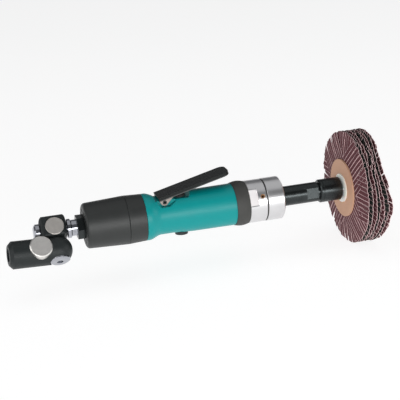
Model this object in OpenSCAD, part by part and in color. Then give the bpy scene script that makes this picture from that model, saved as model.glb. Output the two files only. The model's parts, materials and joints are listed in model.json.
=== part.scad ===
// Straight air grinder with a planetary nose, a throttle lever, a rear exhaust sleeve,
// a two-axis air swivel and a sanding mop held in a collet. Millimetres, +X along the
// spindle towards the mop, +Z towards the lever. The origin is on the spindle axis at
// the front end of the nose collar's plain band.

/* [Nose collar and gear case] */
// Diameter of the nose collar
nose_d = 38.1; // [37:0.1:48]
// Length of the nose collar's plain band
nose_band = 14.4; // [14.4:0.1:20]
// Chamfer at the front of the nose collar
nose_chamfer = 0.8; // [0.2:0.1:1.5]
// Wall left in front of the spindle bearings
nose_wall = 2; // [1:0.1:4]
// Width of the groove between collar and gear case
groove_w = 1; // [0.8:0.1:1.4]
// Length of the gear case in sight
case_len = 15.4; // [15.4:0.1:22]
// Distance from the axis to the gear case's wrench flats
case_flat = 17.15; // [17:0.05:18.5]
// Turn of the wrench flats and set screw, from +Y towards +Z, in degrees
case_flat_turn = 153; // [90:1:170]
// Diameter of the set screw
set_screw_d = 4; // [2:0.1:5]
// Length of the gear case's wrench flats
flat_len = 7.5; // [5:0.1:10]

/* [Planetary gears] */
// Gear module
gear_m = 0.72; // [0.6:0.01:0.76]
// Backlash cut from each tooth at the pitch circle
backlash = 0.08; // [0.05:0.01:0.15]
// Face width of the planet gears
gear_w = 7.8; // [5:0.1:8.2]
// Diameter of the planet pins
planet_pin_d = 4; // [2.5:0.1:5]

/* [Handle] */
// Length of the handle between sleeve and grip ring
handle_len = 80.2; // [80:0.1:110]
// Diameter at the handle's rear flare
flare_d = 40.8; // [38:0.1:46]
// Diameter at the handle's waist
waist_d = 34.2; // [34:0.1:40]
// Diameter at the handle's front
front_d = 37; // [36:0.1:42]
// Length of the grip ring
ring_len = 12; // [8:0.1:16]
// Diameter of the grip ring at its crown
ring_crown_d = 39.8; // [38.5:0.1:46]
// Diameter of the grip ring at its edges
ring_edge_d = 37.8; // [36:0.1:44]

/* [Rear exhaust sleeve] */
// Length of the band next to the handle
band_len = 15.4; // [10:0.1:22]
// Length of the rear sleeve
sleeve_len = 36.5; // [36:0.1:50]
// Diameter at the seam between band and sleeve
seam_d = 42.2; // [40:0.1:48]
// Diameter at the rear of the sleeve
sleeve_rear_d = 39.3; // [38:0.1:46]
// Rounding of the sleeve's rear edge
sleeve_round = 3; // [1:0.1:4]
// Thickness of the sleeve's rear wall
sleeve_wall = 3; // [2:0.1:5]
// Number of exhaust holes in the rear wall
exhaust_holes = 10; // [6:1:14]
// Diameter of each exhaust hole
exhaust_d = 3.2; // [2:0.1:4]

/* [Throttle lever and valve] */
// Length of the lever
lever_len = 66; // [50:0.1:74]
// Width of the lever
lever_w = 20; // [19:0.1:24]
// Thickness of the lever's sheet steel
lever_t = 1.5; // [1:0.1:1.8]
// Depth of the lever's side flanges
flange_depth = 3.3; // [3:0.1:3.6]
// Angle at which the lever stands when let go, in degrees
lever_rise = 13.6; // [12.5:0.1:16]
// Height of the lever's pivot above the axis
pivot_z = 13.7; // [13.5:0.1:14.2]
// Distance from the handle's rear to the pivot
pivot_from_rear = 18; // [17:0.1:19]
// Distance from the pivot to the lever's rear end
lever_tail = 4.1; // [3.5:0.1:4.5]
// Distance from the pivot up to the web's outer face
web_rise = 5.3; // [5:0.1:5.6]
// Diameter of the lever's roll pin
lever_pin_d = 3.3; // [2.5:0.1:3.4]
// Distance from the handle's rear to the valve
valve_from_rear = 33; // [32:0.1:34]
// Diameter of the valve's stem
stem_d = 4.4; // [3:0.1:5]
// Diameter of the speed regulator's barrel
regulator_d = 10; // [8:0.1:10.5]
// Diameter of the speed regulator's head
regulator_head_d = 11.6; // [11:0.1:12.5]

/* [Motor] */
// Diameter of the motor cylinder
motor_d = 28; // [26:0.1:28.4]
// Bore of the motor cylinder
motor_bore_d = 23.2; // [22:0.1:23.6]
// Length of the motor cylinder
motor_len = 32; // [24:0.1:33]
// Diameter of the rotor
rotor_d = 20.6; // [18:0.1:20.8]
// Offset of the cylinder's bore from the rotor's axis
bore_offset = 1.1; // [0.8:0.05:1.1]
// Number of vanes
vanes = 4; // [3:1:5]

/* [Spindle and collet] */
// Diameter of the spindle
spindle_d = 17.7; // [16:0.1:20]
// Length of the spindle in front of the nose
spindle_len = 36; // [30:0.1:50]
// Length of the spindle's wrench flats
spindle_flat_len = 11; // [8:0.1:14]
// Width across the spindle's wrench flats
spindle_flat_w = 15; // [13:0.1:15.5]
// Diameter of the collet nut
nut_d = 20.8; // [20:0.1:26]
// Length of the collet nut
nut_len = 20.4; // [18:0.1:24]
// Diameter of the mop's shank
shank_d = 6.35; // [5.2:0.05:6.5]

/* [Sanding mop] */
// Diameter of the mop
mop_d = 101.6; // [75:0.1:125]
// Number of abrasive sheets
sheets = 7; // [7:1:7]
// Distance from one sheet to the next
sheet_pitch = 3; // [2:0.1:4]
// Room that each slit sheet takes in thickness
sheet_t = 1.1; // [0.8:0.1:1.6]
// Diameter of the fibre flange discs
disc_d = 52.1; // [45:0.1:62]
// Thickness of the fibre flange discs
disc_t = 1.6; // [1:0.1:2.5]
// Diameter of the white hub bushes
bush_d = 25.6; // [22:0.1:32]
// Thickness of the white hub bushes
bush_t = 1.2; // [1:0.1:4]

/* [Air swivel] */
// Roll of the swivel about the tool's axis, in degrees
swivel_roll = 43; // [0:1:90]
// Yaw of the tail about the elbow, in degrees
tail_yaw = 6; // [0:1:15]
// Distance from the sleeve's rear face to the elbow's axis
elbow_from_sleeve = 25.5; // [25:0.1:32]
// Width across the inlet bushing's hexagon
hex_w = 18.6; // [17.5:0.1:20]
// Length of the inlet bushing's hexagon
hex_len = 6.4; // [5:0.1:8]
// Side of the swivel block
block_side = 20.5; // [19:0.1:20.8]
// Length of the swivel block along the tool
block_len = 22.8; // [20:0.1:23.4]
// Rounding of the swivel block
block_round = 5; // [3:0.1:6]
// Diameter of the block's plug
block_plug_d = 16; // [12:0.1:17]
// Diameter of the tail
tail_d = 23.4; // [21:0.1:23.6]
// Distance from the tool's axis to the tail's axis
tail_drop = 18.5; // [18.5:0.1:21]
// Length of the tail from the elbow's axis to its mouth
tail_len = 42; // [40:0.1:44]
// Diameter of the tail's plug
tail_plug_d = 19.2; // [15:0.1:19.2]
// Distance from the elbow's axis to the tail's plug
tail_plug_x = 15.8; // [15.5:0.1:20]
// Tapping diameter of the air port
port_d = 11.2; // [10:0.1:12]
// Depth of the air port
port_depth = 13; // [10:0.1:16]
// Diameter of the elbow bolt's head
bolt_head_d = 17.6; // [14:0.1:18]

/* [Fits] */
// Radial clearance of a running fit
run_gap = 0.05; // [0.02:0.01:0.1]
// Radial clearance of pieces that are assembled and stay put
seat_gap = 0.02; // [0.01:0.01:0.05]
// Gap between pieces that pass each other
pass_gap = 0.3; // [0.2:0.05:0.5]

/* [Hidden] */
$fn = 72;

// Broken edges: of most pieces, at the sleeve's seams and at the nose's groove
edge = 0.3;
seam_edge = 0.4;
groove_edge = 0.2;
// How far a cut runs past the face that it opens
past = 1;

// Stations along the axis, from the nose backwards
x_band_r = -nose_band;
x_case_f = x_band_r - groove_w;
x_case_r = x_case_f - case_len;
x_ring_r = x_case_r - ring_len;
x_handle_r = x_ring_r - handle_len;
x_seam = x_handle_r - band_len;
x_sleeve_r = x_seam - sleeve_len;
x_elbow = x_sleeve_r - elbow_from_sleeve;
x_pivot = x_handle_r + pivot_from_rear;
x_valve = x_handle_r + valve_from_rear;

// Stations from the nose forwards
x_neck = spindle_len;
neck_len = 1.6;
nut_gap = 0.4;
x_nut_r = x_neck + neck_len + nut_gap;
x_nut_f = x_nut_r + nut_len;
collar_gap = 0.4;
collar_t = 0.8;
x_collar = x_nut_f + collar_gap;
x_bush = x_collar + collar_t;
x_disc = x_bush + bush_t;
x_sheets = x_disc + disc_t;
x_rear_disc = x_sheets + (sheets - 1) * sheet_pitch + sheet_t;
x_rear_bush = x_rear_disc + disc_t;
x_hub_end = x_rear_bush + bush_t;

// Gear train: sun + 2 planets = ring, and (sun + ring) / 3 is whole
sun_n = 12;
planet_n = 15;
ring_n = sun_n + 2 * planet_n;
planets = 3;
addendum = 0.8;
dedendum = 1;
pressure = 20;
gear_centre = gear_m * (sun_n + planet_n) / 2;
ring_root_r = gear_m * (ring_n / 2 + dedendum);
planet_pin_r = planet_pin_d / 2;
gear_setback = 6.4;
x_gear_f = x_case_f - gear_setback;
x_gear_r = x_gear_f - gear_w;
gear_side_gap = 0.4;

// Nose and gear case
nose_r = nose_d / 2;
case_r = nose_r - 0.15;
nose_spigot_r = case_r - 2.7;
nose_spigot_len = x_band_r - x_gear_f - gear_side_gap;
carrier_r = gear_centre + planet_pin_r + 2.275;
carrier_t = 6.2;
carrier_room = 0.5;
x_carrier_r = x_gear_f + gear_side_gap;
x_carrier_f = x_carrier_r + carrier_t;
spindle_bearing_r = 12;
spindle_bearing_w = 5.95;
journal_r = 6;
pilot_r = 4.5;
pilot_len = 13.6;
x_bearing_f = -nose_wall;
x_bearing_mid = x_bearing_f - spindle_bearing_w;
x_bearing_r = x_bearing_mid - spindle_bearing_w;
spindle_r = spindle_d / 2;
set_screw_x = x_case_f - 3.8;
set_screw_r = set_screw_d / 2;
set_screw_foot = nose_spigot_r - 1.2;
set_screw_top = case_r - 0.35;
set_screw_socket_r = 1.2;
set_screw_socket = 1.6;
seal_inset = 1;
seal_slack = 0.05;

// Motor stack, set back from the gear case
motor_r = motor_d / 2;
spigot_len = 4;
end_front_t = 6.2;
end_rear_t = 6.5;
x_end_f = x_case_r - spigot_len;
x_cyl_f = x_end_f - end_front_t;
x_cyl_r = x_cyl_f - motor_len;
x_end_r = x_cyl_r - end_rear_t;
rotor_r = rotor_d / 2;
rotor_side_gap = 0.15;
rotor_back = 0.5;
rotor_front = 0.2;
front_journal_r = 5;
rear_journal_r = 3;
motor_bearing_w = 5;
shaft_room = 0.4;
race_gap = 0.05;
front_bearing_r = 11;
rear_bearing_r = 7.5;

// Ball bearings: a wall of each race, its groove, the balls and their pitch radii
race_wall = 1;
race_groove_r = 1.6;
ball_r = 1.5;
rear_balls = 6;
front_balls = 10;
spindle_balls = 12;
rear_mid = (rear_bearing_r + rear_journal_r) / 2;
front_mid = (front_bearing_r + front_journal_r) / 2;
spindle_mid = (spindle_bearing_r + journal_r) / 2;

// Rotor and vanes
vane_t = 1.5;
vane_h = 5.8;
slot_t = vane_t + 2 * run_gap;
vane_sunk = 0.1;
slot_h = vane_h + 0.3;
sun_shank_r = 3;
sun_shank_len = 12;
sun_end_gap = 0.3;

// Handle
flare_r = flare_d / 2;
waist_r = waist_d / 2;
front_r = front_d / 2;
neck_r = motor_r + 2.4;
spigot_r = 16;
spigot_back = 27;
sleeve_bore_r = spigot_r + 1;
flare_from = 2.5;
flare_step = 1.1;
swell_from = 22;
swell_step = 2.75;
tube_r = 11.2;
tube_gap = 0.2;
felt_gap = 0.1;
felt_r = spigot_r + 0.9;
shank_r = 8;
shank_len = 17;
stem_stop = 0.5;
air_r = 4;
vent_r = 1.6;
vent_at = 12.5;
port_r = 1;
vent_turns = [-15, -45, -135, -165];
lever_pin_r = lever_pin_d / 2;

// Throttle valve and regulator, from the top of the handle downwards
notch_z = pivot_z + 2.5;
notch_low_z = pivot_z + 1.5;
valve_flat_z = pivot_z + 1.3;
pocket_z = pivot_z - 3.4;
valve_bore_r = 5.2;
bushing_step_z = valve_flat_z + 1.6;
bushing_top_z = bushing_step_z + 1.2;
bushing_neck_r = valve_bore_r - 1.2;
bushing_foot_z = 6;
stem_r = stem_d / 2;
seat_z = 1.7;
seat_bore = 0.4;
chamber_r = 4.6;
chamber_z = -6.2;
valve_head_r = 4;
valve_head_t = 2.2;
valve_gap = 0.3;
stem_tip = 0.4 * stem_r;
stem_tip_r = 0.6 * stem_r;
stem_top_z = pivot_z + (x_valve - x_pivot - stem_tip_r) * tan(lever_rise)
    + (web_rise - lever_t) / cos(lever_rise) - run_gap;
spring_r = 3.2;
spring_wire_r = 0.4;
spring_turns = 4;
spring_gap = 0.02;
regulator_r = regulator_d / 2;
regulator_head_r = regulator_head_d / 2;
regulator_gap = 0.1;
regulator_port_gap = 0.2;
regulator_top_z = chamber_z - 0.6;
regulator_head_z = -16.8;
regulator_foot_z = -19.6;
regulator_hole_r = 2.2;
regulator_hole_z = -11;
clip_t = 0.8;
clip_z = -15.2;
clip_depth = 0.5;
clip_lip = 0.45;
clip_groove = 0.6;
clip_split = 2;
driver_slot = 1.2;

// Room for the lever in the handle's top: distances along the tool from the pivot back,
// from the valve's axis, and from the pivot to the pockets beside the ears
room_rear = 8.4;
room_step = 3;
room_ramp = 1.5;
valve_room_rear = 6.5;
valve_room_front = 6;
valve_room_end = 9.5;
ear_room_rear = 6.4;
ear_room_foot = 3.7;
ear_room_front = 9.8;
far = 30;

// The lever's ears, in the lever's own frame
flange_low = web_rise - flange_depth;
ear_r = 3;
ear_foot = -2.75;
ear_front = 8.6;
lever_nose = 6;
pin_stand = 0.3;
pin_wall = 0.7;

// Spindle front and collet
nut_r = nut_d / 2;
nose_thread_r = 7.8;
nose_thread_len = 12.4;
mop_shank_r = shank_d / 2;
x_taper_f = x_neck + neck_len + nose_thread_len;
taper_len = 16;
taper_big = 6.9;
taper_small = 4.6;
taper_centre = 4;
flat_roll = -8;
pilot_gap = 0.4;
spindle_back = 0.6;
collet_gap = 0.1;
collet_back = 0.5;
collet_front = 3;
collet_land = 1;
collet_bevel = 1.6;
collet_slot = 0.6;
collet_solid = 5;
nut_bevel = 0.9;
nut_front_bevel = 1;
nut_groove = [2.4, 2.6, 3, 3.2];
nut_groove_h = 0.25;
nut_bore = 0.2;
nut_seat = 4;

// Mop hub
arbor_r = 4.7;
arbor_collar_r = bush_d / 2 - 3.8;
arbor_back = 1;
arbor_short = 0.2;
screw_r = 2.5;
screw_len = 11;
screw_hole = 12;
screw_washer_r = bush_d / 2 - 4;
screw_washer_t = 1;
screw_hex_r = 5.6;
screw_hex_end = 3.6;
spacer_inset = 10;

// Swivel
block_h = block_side / 2;
block_shift = 1.1;
block_front = block_len / 2 - block_shift;
block_rear = block_len / 2 + block_shift;
block_belly_round = 2;
block_void = 3;
plug_seat = 1.9;
plug_gap = 0.02;
plug_t = 1.6;
plug_edge = 0.4;
block_foot = 8.5;
elbow_top = block_foot + pass_gap;
elbow_foot = 26.9;
swivel_journal_r = 4.2;
bolt_journal_r = 5;
bolt_thread_r = 4.4;
swivel_flange_r = 8.3;
swivel_stem_r = 7;
flange_bevel = [0.5, 0.8];
stem_air_r = 2.5;
stem_port_r = 1.6;
stem_seal_x = 6;
seal_cord_r = 0.5;
seal_depth = 0.48;
seal_groove = 0.7;
stem_end = 4;
stem_end_r = 3;
stem_cap_r = 7.5;
stem_cap_steps = [3.4, 4.6, 5.4];
stem_cap_rounds = [1.4, 3.4];
bolt_head_t = 2;
bolt_head_bevel = 2;
bolt_air_r = 2.4;
bolt_port_r = 2;
bolt_thread_len = 3.4;
bolt_seal = 3;
bolt_socket_r = 2.9;
bolt_socket = 1.6;
relief_r = 20.5;
mouth_chamfer = 3;
tail_plug_seat = 6;
tail_plug_stand = 0.3;
tail_plug_edge = 0.8;
tail_r = tail_d / 2;
lobe = 0.6;
lobe_r = tail_r + lobe;
hex_r = hex_w / 2 / cos(30);
x_hex_r = x_sleeve_r - hex_len;
x_flange_r = x_elbow + block_front + pass_gap;
flange_t = 3.9;
x_flange_f = x_flange_r + flange_t;
x_cap_f = x_elbow - block_rear;

teal = [0.01, 0.5, 0.51];
black = [0.16, 0.17, 0.17];
silver = [0.78, 0.78, 0.78];
steel = [0.6, 0.61, 0.63];
gunmetal = [0.13, 0.15, 0.16];
brass = [0.72, 0.5, 0.3];
tan = [0.77, 0.6, 0.47];
maroon = [0.43, 0.25, 0.29];
white = [0.95, 0.95, 0.93];
felt = [0.55, 0.52, 0.46];
rubber = [0.08, 0.08, 0.08];

// ---- Shapes used by several pieces ----

// A solid turned about the X axis from an outline of [x, radius] points
module turned(outline) {
    rotate([0, 90, 0])
        rotate_extrude()
            polygon([for (p = outline) [p[1], p[0]]]);
}

// A round bar along X between two stations
module bar(x0, x1, r) {
    translate([x0, 0, 0])
        rotate([0, 90, 0])
            cylinder(h = x1 - x0, r = r);
}

// A round tube along X
module tube(x0, x1, outer, inner) {
    difference() {
        bar(x0, x1, outer);
        bar(x0 - past, x1 + past, inner);
    }
}

// A flat outline in the YZ plane, extruded forwards from a station
module slice(x0, x1) {
    translate([x0, 0, 0])
        rotate([90, 0, 90])
            linear_extrude(x1 - x0)
                children();
}

// An outline in the XZ plane, extruded across the tool to both sides
module cross(w) {
    translate([0, w / 2, 0])
        rotate([90, 0, 0])
            linear_extrude(w)
                children();
}

// A sealing ring about the X axis
module o_ring(x, r, cord) {
    translate([x, 0, 0])
        rotate([0, 90, 0])
            rotate_extrude()
                translate([r, 0])
                    circle(cord, $fn = 24);
}

// A square with round corners, made of plain squares and circles
module rounded(w, h, r) {
    square([w, h - 2 * r], center = true);
    square([w - 2 * r, h], center = true);
    for (sx = [-1, 1], sy = [-1, 1])
        translate([sx * (w / 2 - r), sy * (h / 2 - r)])
            circle(r);
}

// An easing from 0 to 1 with level ends
function ease(s) = (1 - cos(180 * s)) / 2;

// ---- Gear teeth ----

// Roll angle at which an involute from base radius b reaches radius r, in degrees
function roll(b, r) = sqrt(max(0, r * r / (b * b) - 1)) * 180 / PI;

// Angle that an involute has turned through at radius r, in degrees
function turn_at(b, r) = roll(b, r) - atan(sqrt(max(0, r * r / (b * b) - 1)));

// Half the angle that a tooth fills at radius r
function half_tooth(n, r, thick) =
    let (p = gear_m * n / 2, b = p * cos(pressure))
    thick / (2 * p) * 180 / PI + turn_at(b, p) - turn_at(b, max(b, r));

// Outline of a gear with n teeth between two radii
function gear_outline(n, root, tip, thick) =
    let (b = gear_m * n / 2 * cos(pressure), foot = max(root, b), steps = 4)
    [for (i = [0:n - 1], side = [-1, 1], k = [0:steps + 1])
        let (
            j = side < 0 ? k : steps + 1 - k,
            r = j == 0 ? root : foot + (tip - foot) * (j - 1) / steps,
            a = 360 * i / n + side * half_tooth(n, r, thick)
        )
        [r * cos(a), r * sin(a)]];

module gear(n) {
    p = gear_m * n / 2;
    polygon(gear_outline(n, p - dedendum * gear_m, p + addendum * gear_m,
                         PI * gear_m / 2 - backlash));
}

// The space cut out of the gear case: its teeth are the ring gear's gaps
module ring_space() {
    p = gear_m * ring_n / 2;
    rotate(90)
        polygon(gear_outline(ring_n, p - addendum * gear_m, ring_root_r,
                             PI * gear_m / 2 + backlash));
}

// Angle of a planet about the spindle, from +Y towards +Z
function planet_turn(i) = 90 + 360 / planets * i;

// ---- Handle, sleeve and inlet ----

// The handle's outside: flare, waist and slow swell towards the front
function flare_outline() =
    [for (i = [0:10]) [x_handle_r + flare_from + flare_step * i,
                       flare_r + (waist_r - flare_r) * ease(i / 10)]];
function swell_outline() =
    [for (i = [0:8]) [x_handle_r + swell_from + swell_step * i,
                      waist_r + (front_r - edge - waist_r) * ease(i / 8)]];

module handle_shell() {
    turned(concat(
        [[x_handle_r, 0], [x_handle_r, flare_r - edge], [x_handle_r + edge, flare_r]],
        flare_outline(), swell_outline(),
        [[x_ring_r - edge, front_r], [x_ring_r, front_r - edge], [x_ring_r, 0]]));
    bar(x_ring_r - past, x_case_r - pass_gap, neck_r);
    bar(x_handle_r - spigot_back, x_handle_r + past, spigot_r);
    bar(x_sleeve_r + sleeve_wall + tube_gap, x_handle_r - spigot_back + past, tube_r);
}

// Room for the lever's web on top, for its ears at the sides and round the valve
module lever_room() {
    rear = x_pivot - room_rear;
    front = x_valve + valve_room_end;
    cross(2 * far)
        polygon([[rear, notch_low_z], [x_pivot - room_step, notch_low_z],
                 [x_pivot - room_ramp, notch_z],
                 [x_valve - valve_room_rear - room_ramp, notch_z],
                 [x_valve - valve_room_rear, valve_flat_z],
                 [x_valve + valve_room_front, valve_flat_z],
                 [front, valve_flat_z + front - x_valve - valve_room_front],
                 [front, far], [rear, far]]);
    inner = lever_w / 2 - lever_t - pass_gap / 2;
    for (side = [-1, 1])
        translate([0, side * (inner + far / 2), 0])
            cross(far)
                polygon([[x_pivot - ear_room_foot, pocket_z],
                         [x_pivot + ear_room_foot, pocket_z],
                         [x_pivot + ear_room_front, pivot_z],
                         [x_pivot + ear_room_front, far], [x_pivot - ear_room_rear, far],
                         [x_pivot - ear_room_rear, pivot_z]]);
}

module handle_bores() {
    bar(x_end_r - seat_gap, x_case_r + past, motor_r + seat_gap);
    bar(x_sleeve_r, x_sleeve_r + shank_len + sleeve_wall, shank_r + seat_gap);
    bar(x_sleeve_r, x_valve, air_r);
    for (a = vent_turns)
        rotate([a, 0, 0])
            translate([0, vent_at, 0])
                bar(x_handle_r - spigot_back - past, x_end_r + past, vent_r);
    translate([x_valve, 0, seat_z])
        cylinder(h = far, r = valve_bore_r);
    translate([x_valve, 0, chamber_z])
        cylinder(h = seat_z - chamber_z + past, r = chamber_r);
    translate([x_valve, 0, chamber_z - past])
        cylinder(h = 2 * past, r = regulator_hole_r);
    translate([x_valve, 0, -far])
        cylinder(h = far + regulator_top_z + regulator_gap, r = regulator_r + run_gap);
    translate([x_valve, 0, -far])
        cylinder(h = far + regulator_head_z, r = regulator_head_r + pass_gap);
    translate([x_valve, 0, clip_z - clip_t / 2 - run_gap])
        cylinder(h = clip_t + 2 * run_gap, r = regulator_r + clip_depth);
    translate([0, 0, regulator_hole_z])
        bar(x_valve, x_end_r + past, regulator_hole_r);
    translate([x_pivot, 0, pivot_z])
        rotate([90, 0, 0])
            cylinder(h = 2 * far, r = lever_pin_r + seat_gap, center = true);
}

module handle_housing() color(teal)
    difference() {
        handle_shell();
        lever_room();
        handle_bores();
    }

module sleeve_band() color(black)
    turned([[x_seam, spigot_r + run_gap], [x_seam, seam_d / 2 - seam_edge],
            [x_seam + seam_edge, seam_d / 2], [x_handle_r - seam_edge, flare_r],
            [x_handle_r, flare_r - seam_edge], [x_handle_r, spigot_r + run_gap]]);

module rear_sleeve() {
    r = sleeve_rear_d / 2;
    rear_edge = [for (a = [0:15:90]) [x_sleeve_r + sleeve_round * (1 - sin(a)),
                                      r - sleeve_round * (1 - cos(a))]];
    color(black)
        difference() {
            turned(concat(
                [[x_seam, sleeve_bore_r], [x_seam, seam_d / 2 - seam_edge],
                 [x_seam - seam_edge, seam_d / 2]],
                rear_edge,
                [[x_sleeve_r, shank_r + run_gap],
                 [x_sleeve_r + sleeve_wall, shank_r + run_gap],
                 [x_sleeve_r + sleeve_wall, sleeve_bore_r]]));
            for (i = [0:exhaust_holes - 1])
                rotate([360 / exhaust_holes * i, 0, 0])
                    translate([0, (tube_r + spigot_r) / 2, 0])
                        bar(x_sleeve_r - past, x_sleeve_r + sleeve_wall + past, exhaust_d / 2);
        }
}

module muffler_felt() color(felt)
    tube(x_sleeve_r + sleeve_wall + pass_gap, x_handle_r - spigot_back - pass_gap,
         felt_r, tube_r + felt_gap);

module inlet_bushing() color(gunmetal)
    difference() {
        union() {
            slice(x_hex_r, x_sleeve_r)
                circle(hex_r, $fn = 6);
            bar(x_sleeve_r - past, x_sleeve_r + shank_len, shank_r);
        }
        bar(x_hex_r - past, x_sleeve_r + shank_len + past, air_r);
        bar(x_hex_r - past, x_sleeve_r - stem_stop, swivel_stem_r + seat_gap);
    }

// ---- Motor ----

module motor_cylinder() color(steel)
    difference() {
        bar(x_cyl_r, x_cyl_f, motor_r);
        translate([0, 0, bore_offset])
            bar(x_cyl_r - past, x_cyl_f + past, motor_bore_d / 2);
    }

module rear_end_plate() color(steel)
    difference() {
        bar(x_end_r, x_cyl_r, motor_r);
        bar(x_end_r - past, x_end_r + motor_bearing_w + 2 * race_gap,
            rear_bearing_r + seat_gap);
        bar(x_end_r, x_cyl_r + past, rear_journal_r + shaft_room);
        translate([0, 0, regulator_hole_z])
            bar(x_end_r - past, x_cyl_r + past, regulator_hole_r);
        for (a = vent_turns)
            rotate([a, 0, 0])
                translate([0, rotor_r - port_r, 0])
                    bar(x_end_r - past, x_cyl_r + past, port_r);
    }

module front_end_plate() color(steel)
    difference() {
        bar(x_cyl_f, x_end_f, motor_r);
        bar(x_end_f - motor_bearing_w, x_end_f + past, front_bearing_r + seat_gap);
        bar(x_cyl_f - past, x_end_f, front_journal_r + shaft_room);
    }

// Outer race of a ball bearing, with its groove
module outer_race(x0, w, outer, mid) {
    difference() {
        tube(x0, x0 + w, outer, mid + race_wall);
        o_ring(x0 + w / 2, mid, race_groove_r);
    }
}

// Inner race and the balls round it
module inner_race(x0, w, inner, mid, balls) {
    difference() {
        tube(x0, x0 + w, mid - race_wall, inner);
        o_ring(x0 + w / 2, mid, race_groove_r);
    }
    for (i = [0:balls - 1])
        rotate([360 / balls * i, 0, 0])
            translate([x0 + w / 2, 0, mid])
                sphere(ball_r, $fn = 24);
}

module bearing_outer_rings() color(steel) {
    outer_race(x_end_r + race_gap, motor_bearing_w, rear_bearing_r, rear_mid);
    outer_race(x_end_f - motor_bearing_w, motor_bearing_w, front_bearing_r, front_mid);
    outer_race(x_bearing_r, spindle_bearing_w - race_gap, spindle_bearing_r, spindle_mid);
    outer_race(x_bearing_mid, spindle_bearing_w - race_gap, spindle_bearing_r, spindle_mid);
}

module rotor_bearing_inners() color(steel) {
    inner_race(x_end_r + race_gap, motor_bearing_w, rear_journal_r + seat_gap, rear_mid,
               rear_balls);
    inner_race(x_end_f - motor_bearing_w, motor_bearing_w, front_journal_r + seat_gap,
               front_mid, front_balls);
}

module spindle_bearing_inners() color(steel) {
    for (x = [x_bearing_r, x_bearing_mid])
        inner_race(x, spindle_bearing_w - race_gap, journal_r + seat_gap, spindle_mid,
                   spindle_balls);
}

module rotor() color(steel)
    difference() {
        union() {
            bar(x_cyl_r + rotor_side_gap, x_cyl_f - rotor_side_gap, rotor_r);
            bar(x_end_r + rotor_back, x_cyl_r + past, rear_journal_r);
            bar(x_cyl_f - past, x_end_f + rotor_front, front_journal_r);
        }
        for (i = [0:vanes - 1])
            rotate([360 / vanes * i, 0, 0])
                translate([x_cyl_r - past, -slot_t / 2, rotor_r - slot_h])
                    cube([motor_len + 2 * past, slot_t, slot_h + past]);
        bar(x_end_f - sun_shank_len, x_end_f + past, sun_shank_r + seat_gap);
    }

module rotor_vanes() color(tan)
    for (i = [0:vanes - 1])
        rotate([360 / vanes * i, 0, 0])
            translate([x_cyl_r + 2 * rotor_side_gap, -vane_t / 2, rotor_r - vane_h - vane_sunk])
                cube([motor_len - 4 * rotor_side_gap, vane_t, vane_h]);

// ---- Gears and nose ----

module sun_gear() color(steel) {
    slice(x_gear_r - gear_side_gap, x_gear_f)
        gear(sun_n);
    bar(x_end_f - sun_shank_len + sun_end_gap, x_gear_r, sun_shank_r);
}

module planet_gear(i) color(steel)
    translate([0, gear_centre * cos(planet_turn(i)), gear_centre * sin(planet_turn(i))])
        difference() {
            slice(x_gear_r, x_gear_f)
                rotate(planet_turn(i))
                    gear(planet_n);
            bar(x_gear_r - past, x_gear_f + past, planet_pin_r + run_gap);
        }

module at_planets() {
    for (i = [0:planets - 1])
        translate([0, gear_centre * cos(planet_turn(i)), gear_centre * sin(planet_turn(i))])
            children();
}

module planet_pins() color(steel)
    at_planets()
        bar(x_gear_r - gear_side_gap / 2, x_carrier_f, planet_pin_r);

module planet_carrier() color(steel)
    difference() {
        union() {
            bar(x_carrier_r, x_carrier_f, carrier_r);
            bar(x_carrier_f - past, x_bearing_r - race_gap, journal_r + race_wall);
            bar(x_carrier_f - past, x_bearing_f + pilot_gap, journal_r);
            bar(x_bearing_f, x_bearing_f + pilot_len, pilot_r);
        }
        at_planets()
            bar(x_carrier_r - past, x_carrier_f + past, planet_pin_r + seat_gap);
    }

// The set screw's own frame: its axis along +Z, out through the gear case
module at_set_screw() {
    rotate([case_flat_turn, 0, 0])
        translate([set_screw_x, 0, 0])
            rotate([-90, 0, 0])
                children();
}

module set_screw_hole() {
    at_set_screw()
        translate([0, 0, carrier_r])
            cylinder(h = case_r + past - carrier_r, r = set_screw_r + seat_gap);
}

module gear_case() color(silver)
    difference() {
        union() {
            turned([[x_case_r, 0], [x_case_r, case_r - edge], [x_case_r + edge, case_r],
                    [x_case_f - edge, case_r], [x_case_f, case_r - edge], [x_case_f, 0]]);
            bar(x_end_f, x_case_r + past, motor_r);
        }
        bar(x_end_f - past, x_gear_r, front_bearing_r + pass_gap);
        slice(x_gear_r - gear_side_gap, x_gear_f + gear_side_gap)
            ring_space();
        bar(x_gear_f, x_case_f + past, nose_spigot_r + seat_gap);
        for (turn = [case_flat_turn, case_flat_turn + 180])
            rotate([turn, 0, 0])
                translate([x_case_r - past, case_flat, -far / 2])
                    cube([flat_len + past, far, far]);
        set_screw_hole();
    }

module case_set_screw() color(brass)
    at_set_screw()
        difference() {
            translate([0, 0, set_screw_foot])
                cylinder(h = set_screw_top - set_screw_foot, r = set_screw_r);
            translate([0, 0, set_screw_top - set_screw_socket])
                cylinder(h = set_screw_socket + past, r = set_screw_socket_r, $fn = 6);
        }

module case_o_ring() color(rubber)
    o_ring((x_case_f + x_band_r) / 2, nose_r - seal_inset, groove_w / 2 - seal_slack);

module nose_cap() color(silver) {
    difference() {
        turned([[x_band_r, 0], [x_band_r, nose_r - groove_edge],
                [x_band_r + groove_edge, nose_r],
                [0, nose_r], [nose_chamfer, nose_r - nose_chamfer], [nose_chamfer, 0]]);
        bar(x_band_r - past, x_bearing_f, spindle_bearing_r + seat_gap);
        bar(x_band_r - past, x_carrier_f + pass_gap, carrier_r + carrier_room);
        bar(x_bearing_f - past, nose_chamfer + past, spindle_r + pass_gap / 2);
    }
    nose_spigot();
}

// The cap's spigot inside the gear case, open round the carrier
module nose_spigot() {
    difference() {
        tube(x_band_r - nose_spigot_len, x_band_r + 0.01, nose_spigot_r,
             carrier_r + carrier_room);
        set_screw_hole();
    }
}

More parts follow.
